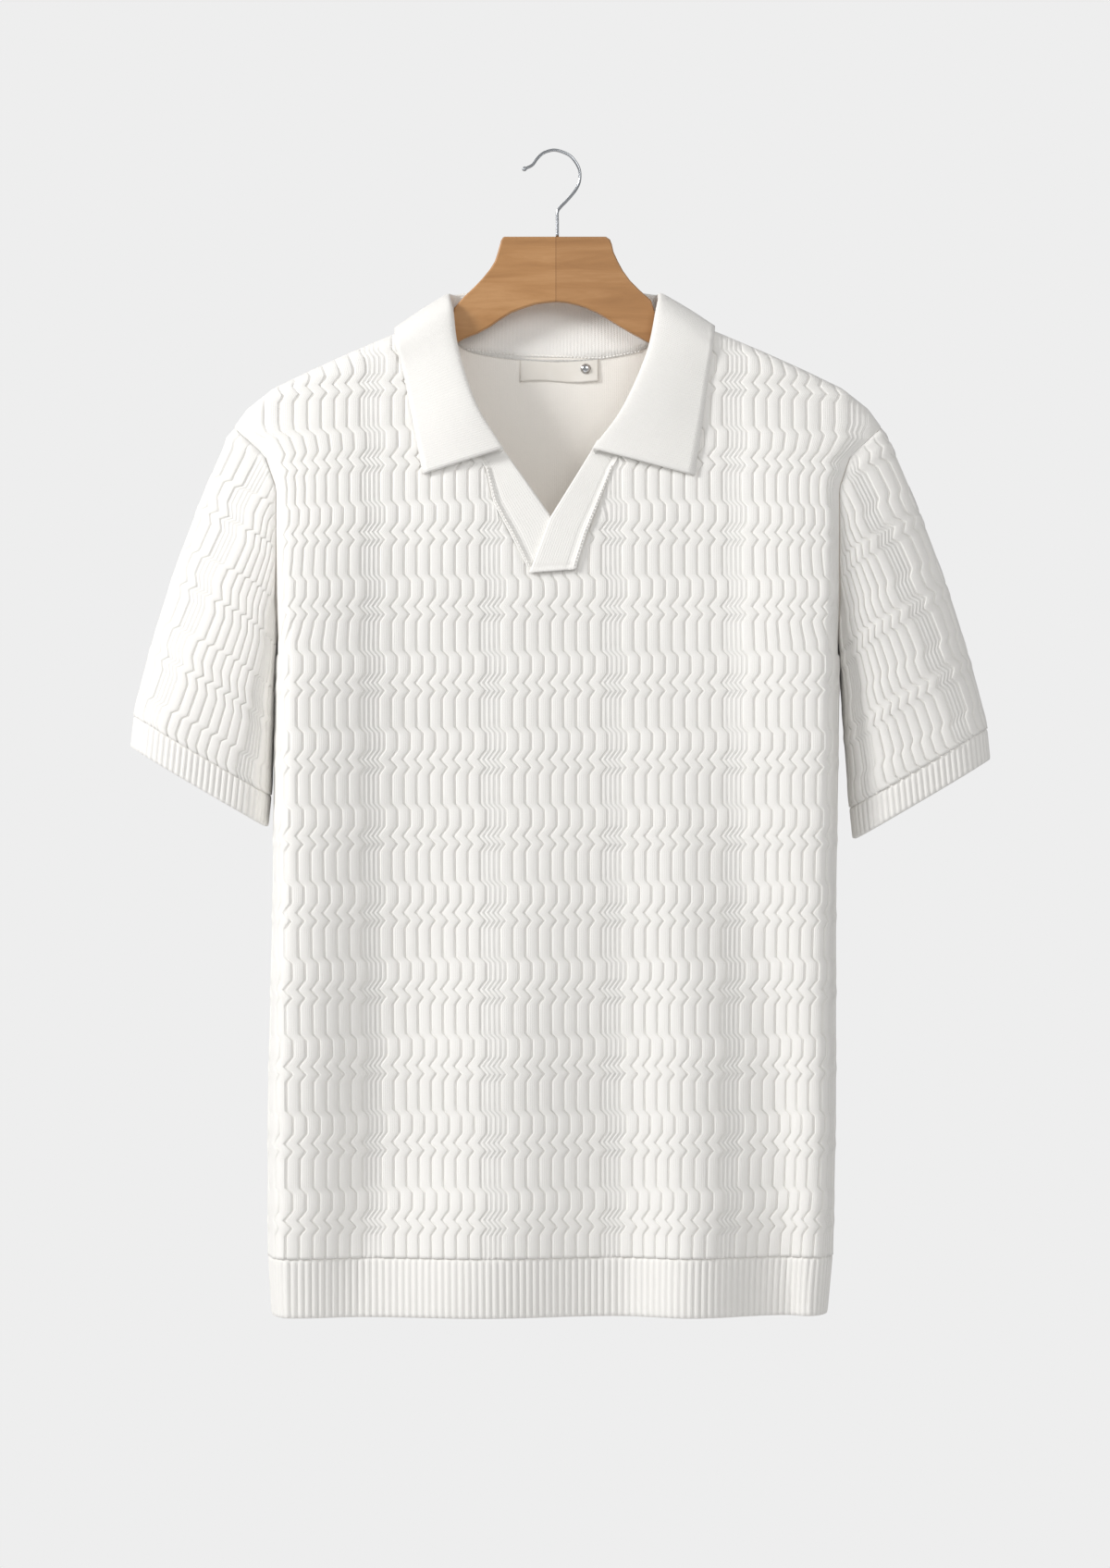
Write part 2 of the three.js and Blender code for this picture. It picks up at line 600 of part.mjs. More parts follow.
function cuffWall(hand) {
  const cuff = hand < 0 ? CUFF.left : CUFF.right;
  const low = alongRing(cuffLine(cuff, 0));
  const high = alongRing(cuffLine(cuff, CUFF_HEIGHT - GAP));
  const middle = new THREE.Vector3(...cuff.middle);
  const column = (share, amount) => {
    const rows = [low(share), high(share)].map((point, i) => {
      const lifted = new THREE.Vector3(...cuff.up).multiplyScalar(i * (CUFF_HEIGHT - GAP));
      const outward = point.clone().sub(middle).sub(lifted).normalize();
      return { at: i, point: point.addScaledVector(outward, amount) };
    });
    return { at: share, rows };
  };
  const count = CUFF_RIBS * 2;
  const outer = Array.from({ length: count }, (none, i) => column(i / count, (i % 2) * EDGE_RIB_HEIGHT));
  const fewer = 40;
  const inner = Array.from({ length: fewer }, (none, i) => column(i / fewer, -WALL));
  return clothWall(outer, inner, true);
}

function collarSection(row) {
  const lay = (x, z, lift) => {
    if (row.side === 0) return new THREE.Vector3(x, 0, Math.max(z, shoulderZ(x) + lift));
    const panel = row.side < 0 ? 'front' : 'back';
    return new THREE.Vector3(x, row.side * (depth(panel, x, z) + lift), z);
  };
  const seam = lay(row.seamX, row.seamZ, -WALL);
  if (row.side === 0) seam.setZ(row.seamZ);
  const fold = new THREE.Vector3(row.foldX, row.foldY, row.foldZ);
  const edge = lay(row.edgeX, row.edgeZ, COLLAR_LIFT);
  const heading = row.out * DEGREE;
  const out = new THREE.Vector3(Math.cos(heading), Math.sin(heading), 0);
  const near = (target, away) => {
    const share = Math.min(5 / fold.distanceTo(target), 0.6);
    return fold.clone().lerp(target, share).addScaledVector(out, away);
  };
  const leafMiddle = fold.clone().lerp(edge, 0.5).addScaledVector(out, FOLD_LOOP);
  return [seam, near(seam, -FOLD_LOOP), fold, near(edge, FOLD_LOOP), leafMiddle, edge];
}

// Leaf of the collar kept outside the shoulders and panels under it
function overShoulder(point) {
  const below = shoulderZ(point.x) + COLLAR_LIFT - point.z;
  if (below <= 0) return point;
  const panel = point.y < 0 ? 'front' : 'back';
  const least = depth(panel, point.x, point.z) + COLLAR_LIFT - 0.6;
  if (Math.abs(point.y) < 1) return point.setZ(shoulderZ(point.x) + COLLAR_LIFT);
  return point.setY(Math.sign(point.y) * Math.max(Math.abs(point.y), least));
}

function collar() {
  const lines = COLLAR.map(collarSection);
  const curves = lines[0].map((none, i) => new THREE.CatmullRomCurve3(lines.map((line) => line[i])));
  const steps = 30;
  const last = curves.length - 1;
  const surface = (share, across) => {
    const i = Math.min(Math.floor(across), last - 1);
    const point = curves[i].getPoint(share).lerp(curves[i + 1].getPoint(share), across - i);
    return across >= 3 ? overShoulder(point) : point;
  };
  const place = (share, across, amount) => {
    const step = 0.01;
    const along = surface(Math.min(share + step, 1), across).sub(surface(Math.max(share - step, 0), across));
    const high = Math.min(across + 0.5, last);
    const low = Math.max(across - 0.5, 0);
    const over = surface(share, high).sub(surface(share, low));
    return surface(share, across).addScaledVector(along.cross(over).normalize(), amount);
  };
  const columns = (amount) => Array.from({ length: steps + 1 }, (none, i) => ({
    at: i,
    rows: curves.map((curve, k) => ({ at: k, point: place(i / steps, k, amount) })),
  }));
  return clothWall(columns(0), columns(COLLAR_WALL));
}

function placketStrip(name) {
  const table = PLACKET[name];
  const steps = 9;
  const across = 4;
  const point = (down, side, amount) => {
    const rows = table.map((row, i) => ({ ...row, i }));
    const at = down * (table.length - 1);
    const value = (column) => readStraight(rows, 'i', at, column);
    const x = THREE.MathUtils.lerp(value('outerX'), value('innerX'), side);
    const z = THREE.MathUtils.lerp(value('outerZ'), value('innerZ'), side);
    const over = name === 'over' ? OVERLAP * THREE.MathUtils.smoothstep(down, 0.1, 0.5) : 0;
    return new THREE.Vector3(x, -(depth('front', x, z) + over - amount), z);
  };
  const columns = (amount) => Array.from({ length: across + 1 }, (none, i) => ({
    at: i,
    rows: Array.from({ length: steps + 1 }, (empty, j) => (
      { at: j, point: point(1 - j / steps, i / across, amount) }
    )),
  }));
  return clothWall(columns(0), columns(WALL));
}

function label() {
  const steps = 12;
  const columns = (amount) => Array.from({ length: steps + 1 }, (none, i) => {
    const x = THREE.MathUtils.lerp(LABEL.left, LABEL.right, i / steps);
    const rows = [LABEL.bottom, LABEL.top].map((z) => {
      const y = depth('back', x, z) - WALL - LABEL.proud + amount;
      return { at: z, point: new THREE.Vector3(x, y, z) };
    });
    return { at: x, rows };
  });
  return clothWall(columns(0), columns(LABEL.wall));
}

function snap() {
  const profile = [new THREE.Vector2(0, 0), new THREE.Vector2(SNAP.radius, 0)];
  const arcs = 4;
  for (let i = 1; i <= arcs; i += 1) {
    const angle = (Math.PI / 2) * (i / arcs);
    profile.push(new THREE.Vector2(SNAP.radius * Math.cos(angle), SNAP.height * Math.sin(angle)));
  }
  profile[profile.length - 1].x = 0;
  return new THREE.LatheGeometry(profile, 20).rotateX(Math.PI);
}

// Outline of the wood: the arched bar in the neck and an arm in each shoulder
function hangerWood() {
  const shape = new THREE.Shape();
  const armTop = (x) => shoulderZ(x) - WOOD_UNDER_SHOULDER;
  const armSteps = 6;
  const inArm = 96;
  const arm = (hand, i) => hand * THREE.MathUtils.lerp(inArm, WOOD_END - 10, i / armSteps);
  shape.moveTo(-40, -62.9);
  shape.quadraticCurveTo(-44, -66, -46.2, -80.9);
  shape.quadraticCurveTo(-58, -98, -76, -115);
  shape.lineTo(-78, -126);
  for (let i = 0; i <= armSteps; i += 1) shape.lineTo(arm(-1, i), armTop(arm(-1, i)));
  const endZ = armTop(WOOD_END - 10);
  shape.quadraticCurveTo(-WOOD_END - 4, endZ - 6, -WOOD_END, endZ - 16);
  shape.quadraticCurveTo(-WOOD_END + 4, endZ - 26, -WOOD_END + 16, endZ - 21);
  for (let i = armSteps - 1; i >= 0; i -= 1) shape.lineTo(arm(-1, i), armTop(arm(-1, i)) - WOOD_ARM_HEIGHT);
  shape.quadraticCurveTo(-30, -110.4, -1, -110.4);
  shape.quadraticCurveTo(28, -110.4, arm(1, 0), armTop(arm(1, 0)) - WOOD_ARM_HEIGHT);
  for (let i = 1; i < armSteps; i += 1) shape.lineTo(arm(1, i), armTop(arm(1, i)) - WOOD_ARM_HEIGHT);
  shape.lineTo(WOOD_END - 16, endZ - 21);
  shape.quadraticCurveTo(WOOD_END - 4, endZ - 26, WOOD_END, endZ - 16);
  shape.quadraticCurveTo(WOOD_END + 4, endZ - 6, WOOD_END - 10, endZ);
  for (let i = armSteps - 1; i >= 0; i -= 1) shape.lineTo(arm(1, i), armTop(arm(1, i)));
  shape.lineTo(73, -124);
  shape.lineTo(68.4, -109.5);
  shape.quadraticCurveTo(50, -92, 44.2, -81);
  shape.quadraticCurveTo(41, -66, 35.4, -62.9);
  shape.closePath();
  const geometry = new THREE.ExtrudeGeometry(shape, {
    depth: 2 * (WOOD_HALF - WOOD_EASE),
    curveSegments: 6,
    bevelThickness: WOOD_EASE,
    bevelSize: WOOD_EASE,
    bevelOffset: -WOOD_EASE,
    bevelSegments: 1,
  });
  return geometry.rotateX(Math.PI / 2).translate(0, WOOD_HALF - WOOD_EASE, 0);
}

function toSolid(geometry) {
  const plain = geometry.clone();
  plain.deleteAttribute('normal');
  plain.deleteAttribute('uv');
  const merged = mergeVertices(plain, 1e-4);
  return new wasm.Manifold(new wasm.Mesh({
    numProp: 3,
    vertProperties: new Float32Array(merged.attributes.position.array),
    triVerts: new Uint32Array(merged.index.array),
  }));
}

function hangerHook() {
  const path = new THREE.CatmullRomCurve3(HOOK.map(({ x, z }) => new THREE.Vector3(x, 0, z)));
  const round = new THREE.Shape().absarc(0, 0, WIRE_RADIUS, 0, 2 * Math.PI);
  const wire = new THREE.ExtrudeGeometry(round, {
    extrudePath: path,
    steps: WIRE_STEPS,
    curveSegments: WIRE_SIDES / 2,
    bevelEnabled: false,
  });
  const ball = new THREE.SphereGeometry(BALL_RADIUS, 12, 8).translate(HOOK[0].x, 0, HOOK[0].z);
  const joined = toSolid(wire).add(toSolid(ball)).getMesh();
  const geometry = new THREE.BufferGeometry();
  geometry.setAttribute('position', new THREE.BufferAttribute(joined.vertProperties, 3));
  geometry.setIndex(new THREE.BufferAttribute(joined.triVerts, 1));
  return geometry;
}

const knit = new THREE.MeshStandardMaterial({ color: 0xf0efeb, roughness: 0.95, metalness: 0 });
const leather = new THREE.MeshStandardMaterial({ color: 0xe3ddd3, roughness: 0.5, metalness: 0 });
const steel = new THREE.MeshStandardMaterial({ color: 0xb9bcc0, roughness: 0.25, metalness: 1 });
const wood = new THREE.MeshStandardMaterial({ color: 0xad8053, roughness: 0.5, metalness: 0 });

const shirt = new THREE.Group();

function addPiece(name, geometry, material) {
  const mesh = new THREE.Mesh(geometry, material.clone());
  mesh.name = name;
  shirt.add(mesh);
  return mesh;
}

addPiece('front_panel', panelWall('front'), knit);
addPiece('back_panel', panelWall('back'), knit);
addPiece('hem_rib_front', hemBand('front'), knit);
addPiece('hem_rib_back', hemBand('back'), knit);
addPiece('sleeve_left', sleeveWall(-1), knit);
addPiece('sleeve_right', sleeveWall(1), knit);
addPiece('cuff_left', cuffWall(-1), knit);
addPiece('cuff_right', cuffWall(1), knit);
addPiece('collar', collar(), knit);
addPiece('placket_under', placketStrip('under'), knit);
addPiece('placket_over', placketStrip('over'), knit);
addPiece('neck_label', label(), leather);
const snapFace = depth('back', SNAP.x, SNAP.z) - WALL - LABEL.proud - 2 * GAP;
addPiece('label_snap', snap(), steel).position.set(SNAP.x, snapFace, SNAP.z);
addPiece('hanger_wood', hangerWood(), wood);
addPiece('hanger_hook', hangerHook(), steel);

export default shirt;
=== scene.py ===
"""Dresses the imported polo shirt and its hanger: knit, bands, collar, placket, label, wood and wire."""
import math

import bmesh
import bpy
import numpy as np
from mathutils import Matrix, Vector


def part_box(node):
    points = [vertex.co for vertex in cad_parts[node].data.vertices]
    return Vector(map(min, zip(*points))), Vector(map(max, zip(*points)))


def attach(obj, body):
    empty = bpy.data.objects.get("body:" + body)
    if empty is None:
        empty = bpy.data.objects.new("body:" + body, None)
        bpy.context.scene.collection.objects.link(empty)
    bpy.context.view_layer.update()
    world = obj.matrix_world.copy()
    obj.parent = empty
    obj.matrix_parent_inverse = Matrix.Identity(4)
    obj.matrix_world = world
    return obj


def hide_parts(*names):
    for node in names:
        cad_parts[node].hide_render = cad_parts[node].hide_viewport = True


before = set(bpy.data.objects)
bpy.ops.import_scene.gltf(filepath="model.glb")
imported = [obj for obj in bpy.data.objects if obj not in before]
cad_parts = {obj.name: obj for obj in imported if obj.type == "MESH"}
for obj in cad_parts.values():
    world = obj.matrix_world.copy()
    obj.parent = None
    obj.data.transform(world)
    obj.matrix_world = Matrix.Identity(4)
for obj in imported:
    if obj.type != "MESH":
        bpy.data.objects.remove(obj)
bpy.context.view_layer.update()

bl_info = {
    "name": "Rib Knit Polo Shirt",
    "version": (1, 0, 0),
    "blender": (4, 5, 0),
    "location": "View3D > Sidebar > Polo Shirt",
    "description": "Makes the knitted cloth, hanger, light and camera of a hanging polo shirt",
    "category": "Object",
}

MM = 0.001
PI = math.pi

# Levels of the shirt in millimetres, as in its construction
HEM_Z = -853.0
BAND_Z = -810.0
ARMPIT_Z = -360.0
SHOULDER_END_Z = -204.0
CHEST_Z = -364.0
WAIST_Z = -718.0

# Knit layout in millimetres
WIDE_RIB = 9.3
RIBS_IN_RUN = 8
NARROW_RIB = 3.5
NARROW_IN_GROUP = 4
GROUP_WIDTH = NARROW_RIB * NARROW_IN_GROUP
REPEAT = WIDE_RIB * RIBS_IN_RUN + GROUP_WIDTH
FIRST_GROUP = -226.1
WAVE = 55.8
FIRST_WAVE_Z = -170.7
SIDE_WALE = 247.0
ARMHOLE_WALE = 226.0
TUCK = 3.0
HEM_RIB = 4.9

ROLL = 10.0
SPREAD = 240.0
SEAM_HALF = 0.15

# Sideways step of the ribs below each zigzag row: distance below the row's middle, and shift
WAVE_STEPS = (
    (-2.8, -1.1), (2.8, 4.1), (8.4, 0.0), (29.3, 0.0), (33.5, 4.4), (45.8, 4.4), (53.0, -1.1), (58.6, 4.1),
)

# Sections of the body: half width to the side turn, its radius and angle, and depth of each panel
BODY = {
    "z": (-853, -810, -700, -550, -360, -345, -300, -249, -225, -204),
    "left": (195, 197.5, 197.5, 194, 192, 193, 194, 194, 194, 194),
    "right": (183, 187, 189, 189, 192, 193, 194, 194, 194, 194),
    "corner": (14, 14, 14, 14, 14, 14, 16, 20, 34, 70),
    "turn": (90, 90, 90, 90, 90, 65, 45, 35, 36, 38),
    "front": (46, 46, 46, 46, 46, 46, 46, 45, 44, 44),
    "back": (44, 44, 44, 44, 44, 44, 44, 43, 42, 42),
}

# Fold lines of each panel: place across and depth behind its plane, at chest, waist and hem
FOLDS = {
    "front": (
        ("left side", (-190, -189, -188), (0, 0, 0)),
        ("left trough", (-104, -121, -143), (14, 15, 8)),
        ("left ridge", (-40, -43, -56), (14.5, 5, -2)),
        ("middle trough", (40, 45, 44), (15, 15, 14)),
        ("right ridge", (85, 95, 97), (14, 6, -1)),
        ("right trough", (110, 158, 168), (12.5, 16, 19)),
        ("right side", (186, 187, 183), (0, 8, 13)),
    ),
    "back": (
        ("left side", (-188, -188, -187), (0, 4, 8)),
        ("left trough", (-120, -138, -146), (11, 15, 17)),
        ("left ridge", (-50, -72, -80), (12, 5, 0)),
        ("middle trough", (10, -8, -14), (13, 14, 13)),
        ("right ridge", (70, 62, 58), (12, 6, 2)),
        ("right trough", (125, 128, 132), (11, 14, 14)),
        ("right side", (186, 186, 183), (0, 2, 3)),
    ),
}

SHOULDER_X = (0, 80, 118, 150, 180, 209, 228, 239, 300)
SHOULDER_Z = (-117, -118, -133, -146.5, -160, -174, -189, -204, -290)

NECK = {
    "front": (
        (-83, -81.5, -72, -53, -47, -32, -19, 11, 31, 40, 60, 78.5, 80),
        (-119, -134, -185, -232, -259, -287, -308, -305, -257, -231, -185, -134, -118),
    ),
    "back": (
        (-83, -81, -70, -27, 32, 64, 78, 80),
        (-119, -134, -143, -147.6, -149.6, -144, -134, -118),
    ),
}

# Sleeve openings: middle, reach to the outer end, and the way up the sleeve
CUFFS = {
    "left": {"middle": (-263.4, 2, -467), "reach": (-49.4, 0, 29), "up": (0.1, 0, 1), "hand": -1},
    "right": {"middle": (267.4, 2, -476), "reach": (49.4, 0, 29), "up": (-0.1, 0, 1), "hand": 1},
}
CUFF_DEPTH = 34.0
CUFF_HEIGHT = 23.0
CUFF_SQUARENESS = 2.6
SLEEVE_BULGE = 6.5
SLEEVE_RIBS = 36
SLEEVE_WAVE_END = 218.0
CUFF_RIBS = 64

# Collar sections from the left front end round the back to the right front end:
# seam x z, fold x z y, edge x z, side of the shirt, heading away from the neck
COLLAR = (
    (-43, -225, -39.5, -220, -27, -98.6, -238.7, -1, -92),
    (-63, -196, -60, -186, -27, -106, -200, -1, -105),
    (-74, -158, -74, -143, -20, -113.5, -162, -1, -125),
    (-79.5, -130, -78, -116, -14, -119, -142, -1, -150),
    (-82.5, -115.5, -80, -105, 0, -119, -129, 0, 180),
    (-79, -129, -76, -104, 13, -111, -146, 1, 140),
    (-60, -142, -60, -102, 18, -90, -168, 1, 115),
    (0, -148, 0, -101, 22, 0, -176, 1, 90),
    (54, -142, 54, -102, 18, 84, -168, 1, 65),
    (75.5, -129, 72, -104, 13, 106, -146, 1, 40),
    (78.5, -114.5, 75, -104.5, 0, 115, -128, 0, 0),
    (76.5, -130, 73, -116, -14, 114, -142, -1, -30),
    (65, -162, 66, -148, -20, 111, -162, -1, -55),
    (50, -200, 47, -190, -27, 106, -200, -1, -75),
    (29, -225, 25, -220, -27, 100, -239.4, -1, -88),
)
COLLAR_LIFT = 4.0
FOLD_LOOP = 2.6

# Placket strips: inner x z and outer x z of each section, from the collar to the bottom of the V
PLACKET = {
    "under": (
        (-44, -213, -60, -220), (-38.5, -222, -51.5, -233.5), (-22, -245, -45.2, -258.5),
        (-4, -271, -30.5, -285.5), (4, -301.5, -20, -307), (5, -306, -18, -310),
    ),
    "over": (
        (29, -213, 47, -219), (24, -222, 39, -233), (10, -245, 29.5, -256.5),
        (-5.8, -270.6, 19.5, -281), (-18.5, -304.5, 12.5, -303), (-21, -311, 11, -308.5),
    ),
}
OVERLAP = 2.3

HOOK = (
    (-24.5, -12.7), (-18.8, -9.9), (-15.2, -5.1), (-11.2, -1.4), (-6.7, 0.5), (-2.2, 1.15), (3.4, -0.2),
    (9.1, -3.1), (13.1, -7.6), (15.6, -12.4), (16.3, -17.5), (15.6, -23.1), (13.1, -28.2), (9.7, -32.6),
    (5.7, -37), (1.8, -41), (-0.3, -44.5), (-0.3, -52), (-0.3, -62.6),
)


def linear(code):
    """Linear colour of an sRGB hex value."""
    parts = [int(code[i:i + 2], 16) / 255 for i in (1, 3, 5)]
    return tuple(c / 12.92 if c <= 0.04045 else ((c + 0.055) / 1.055) ** 2.4 for c in parts) + (1.0,)


class ShirtSizes(bpy.types.PropertyGroup):
    """Sizes and colours of the knit."""

    rib_height: bpy.props.FloatProperty(
        name="Rib height", description="How far a wide rib stands above the valleys",
        default=0.0014, unit="LENGTH")
    narrow_height: bpy.props.FloatProperty(
        name="Narrow rib height", description="Height of the ribs in a narrow group",
        default=0.0009, unit="LENGTH")
    edge_height: bpy.props.FloatProperty(
        name="Band rib height", description="Height of the ribs in hem and cuffs",
        default=0.0012, unit="LENGTH")
    yarn: bpy.props.FloatVectorProperty(
        name="Yarn", description="Colour of the cotton yarn",
        default=linear("#F6F4F0")[:3], subtype="COLOR")


class HangerSizes(bpy.types.PropertyGroup):
    """Sizes of the hanger."""

    wire: bpy.props.FloatProperty(
        name="Wire", description="Diameter of the hook's wire", default=0.0023, unit="LENGTH")
    wood: bpy.props.FloatProperty(
        name="Wood", description="Thickness of the wooden bar", default=0.010, unit="LENGTH")


def add_node(tree, kind, settings=None, links=None):
    """Add a node, set its properties and sockets, and link its inputs."""
    node = tree.nodes.new(kind)
    for name, value in (settings or {}).items():
        if hasattr(node, name):
            setattr(node, name, value)
        else:
            node.inputs[name].default_value = value
    for name, source in (links or {}).items():
        tree.links.new(source, node.inputs[name])
    return node


def new_material(name):
    material = bpy.data.materials.new(name)
    material.use_nodes = True
    tree = material.node_tree
    return material, tree, tree.nodes["Principled BSDF"]


def table(name, z):
    """Straight reading of a body size at a height."""
    return np.interp(z, BODY["z"], BODY[name])


def shoulder_z(x):
    return np.interp(np.abs(x), SHOULDER_X, SHOULDER_Z)


def smoothstep(value, low, high):
    t = np.clip((value - low) / (high - low), 0, 1)
    return t * t * (3 - 2 * t)


def sink(panel, x, z):
    """Depth of the cloth behind its panel's plane, from the fold lines."""
    to_waist = smoothstep(-z, -CHEST_Z, -WAIST_Z)
    to_hem = smoothstep(-z, -WAIST_Z, -HEM_Z)

    def at_height(row):
        return row[0] + (row[1] - row[0]) * to_waist + (row[2] - row[1]) * to_hem

    places = np.array([at_height(line[1]) for line in FOLDS[panel]])
    depths = np.array([at_height(line[2]) for line in FOLDS[panel]])
    x = np.clip(x, places[0], places[-1])
    i = np.clip(np.searchsorted(places, x) - 1, 0, len(places) - 2)
    t = (x - places[i]) / (places[i + 1] - places[i])
    ease = (1 - np.cos(PI * t)) / 2
    # The cloth falls into somewhat deeper creases below the chest than its solid
    return (depths[i] + (depths[i + 1] - depths[i]) * ease) * (1 + 0.3 * to_waist)


def depth(panel, x, z, turned=1.0):
    """Distance of a panel's ground from the plane between front and back."""
    full = table(panel, z) - sink(panel, x, z)
    below = np.maximum(shoulder_z(x) - z, 0)
    roll = ROLL * np.sqrt(1 - (1 - np.minimum(below / ROLL, 1)) ** 2)
    spread = np.sin(PI / 2 * np.minimum(below / SPREAD, 1))
    return (roll + (full - ROLL) * spread) * turned + SEAM_HALF


def half_section(panel, hand, z):
    """Path from the middle of a panel to one edge: x, turn factor and length along the cloth."""
    flat = table("left" if hand < 0 else "right", z)
    corner = table("corner", z)
    turn = math.radians(table("turn", z))
    angles = np.linspace(0, turn, 17)[1:]
    x = np.concatenate([np.linspace(0, flat, 61), flat + corner * np.sin(angles)])
    turned = np.concatenate([np.ones(61), np.cos(angles)])
    y = (table(panel, z) - sink(panel, hand * x, z)) * turned
    length = np.concatenate([[0], np.cumsum(np.hypot(np.diff(x), np.diff(y)))])
    return x, turned, length


def pulled(wale, reach, total):
    share = wale / reach
    ratio = reach / total
    return total * (ratio * share + (1 - ratio) * share ** 7)


def wale_length(wale, total, z):
    """Length along the cloth where a wale lies; the outermost are tucked into the armhole seam."""
    if z <= ARMPIT_Z:
        return pulled(wale, SIDE_WALE, total)
    tuck = SIDE_WALE - ARMHOLE_WALE
    tuck += (TUCK - tuck) * smoothstep(z, ARMPIT_Z, ARMPIT_Z + 40)
    inner = pulled(np.minimum(wale, ARMHOLE_WALE), ARMHOLE_WALE, total - tuck)
    outer = total - tuck * (SIDE_WALE - wale) / (SIDE_WALE - ARMHOLE_WALE)
    return np.where(wale < ARMHOLE_WALE, inner, outer)


def panel_row(panel, wales, z):
    """Ground points of a panel for an array of wales at one height."""
    side = -1 if panel == "front" else 1
    points = np.empty((len(wales), 3))
    for hand in (-1, 1):
        chosen = wales * hand >= 0 if hand > 0 else wales < 0
        x, turned, length = half_section(panel, hand, z)
        at = np.minimum(wale_length(np.abs(wales[chosen]), length[-1], z), length[-1])
        across = hand * np.interp(at, length, x)
        y = side * depth(panel, across, z, np.interp(at, length, turned))
        points[chosen] = np.column_stack([across, y, np.full(len(across), z)])
    return points


def panel_top(panel, wale):
    z = SHOULDER_END_Z + 1
    neck_x, neck_z = NECK[panel]
    for _ in range(5):
        x = panel_row(panel, np.array([wale]), z)[0, 0]
        z = np.interp(x, neck_x, neck_z) if neck_x[0] < x < neck_x[-1] else shoulder_z(x) - 0.01
    return float(z)


def wave_shift(below):
    """Sideways shift of the ribs at a distance below a zigzag row."""
    phase = np.mod(below + 2.8, WAVE) - 2.8
    return np.interp(phase, [s[0] for s in WAVE_STEPS], [s[1] for s in WAVE_STEPS])


def pucker(below):
    """Small swelling of the cloth at the zigzag rows and of the shifted stretch between them."""
    phase = np.mod(below + WAVE / 2, WAVE) - WAVE / 2
    shifted = np.mod(below, WAVE) - 40.7
    return 0.55 * np.exp(-(phase / 4.0) ** 2) + 0.25 * np.exp(-(shifted / 6.0) ** 4)


def rib_profile(narrow_height, rib_height, first, last):
    """Wales of the mesh's columns with the height of the knit there."""
    wide = (
        (0.0, 0.0), (0.5, 0.03), (0.95, 0.85), (1.6, 1.0),
        (4.65, 1.04), (7.7, 1.0), (8.35, 0.85), (8.8, 0.03),
    )
    narrow = ((0.0, 0.0), (1.0, 0.95), (2.5, 0.95))
    columns = []
    group = FIRST_GROUP - 2 * REPEAT
    while group < last:
        start = group - GROUP_WIDTH / 2
        for k in range(NARROW_IN_GROUP):
            columns += [(start + k * NARROW_RIB + at, share * narrow_height) for at, share in narrow]
        start = group + GROUP_WIDTH / 2
        for k in range(RIBS_IN_RUN):
            columns += [(start + k * WIDE_RIB + at, share * rib_height) for at, share in wide]
        group += REPEAT
    return np.array([c for c in columns if first < c[0] < last])


def new_mesh_object(name, points, faces, uvs=None):
    """Object from points in millimetres, with an optional UV in metres for each point."""
    mesh = bpy.data.meshes.new(name)
    mesh.from_pydata([tuple(p * MM) for p in np.asarray(points, float)], [], faces)
    mesh.update()
    if uvs is not None:
        layer = mesh.uv_layers.new(name="knit")
        indices = np.empty(len(mesh.loops), dtype=np.int32)
        mesh.loops.foreach_get("vertex_index", indices)
        layer.data.foreach_set("uv", (np.asarray(uvs, float)[indices] * MM).ravel())
    mesh.polygons.foreach_set("use_smooth", [True] * len(mesh.polygons))
    made = bpy.data.objects.new(name, mesh)
    bpy.context.scene.collection.objects.link(made)
    return made


def grid_faces(columns, rows, ring=False):
    faces = []
    for i in range(columns if ring else columns - 1):
        a, b = i * rows, ((i + 1) % columns) * rows
        faces += [(a + j, b + j, b + j + 1, a + j + 1) for j in range(rows - 1)]
    return faces


def finish_piece(made, material, slot, *nodes):
    made.data.materials.clear()
    made.data.materials.append(material)
    if nodes:
        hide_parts(*nodes)
    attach(made, "root")


def apply_modifiers(made):
    """Turn the object's evaluated shape into its plain mesh."""
    evaluated = made.evaluated_get(bpy.context.evaluated_depsgraph_get())
    mesh = bpy.data.meshes.new_from_object(evaluated)
    old = made.data
    made.modifiers.clear()
    made.data = mesh
    bpy.data.meshes.remove(old)
    for polygon in mesh.polygons:
        polygon.use_smooth = True


def thicken(made, thickness, offset=-1.0):
    solid = made.modifiers.new("Thickness", "SOLIDIFY")
    solid.thickness = thickness
    solid.offset = offset
    solid.use_rim = True
    apply_modifiers(made)


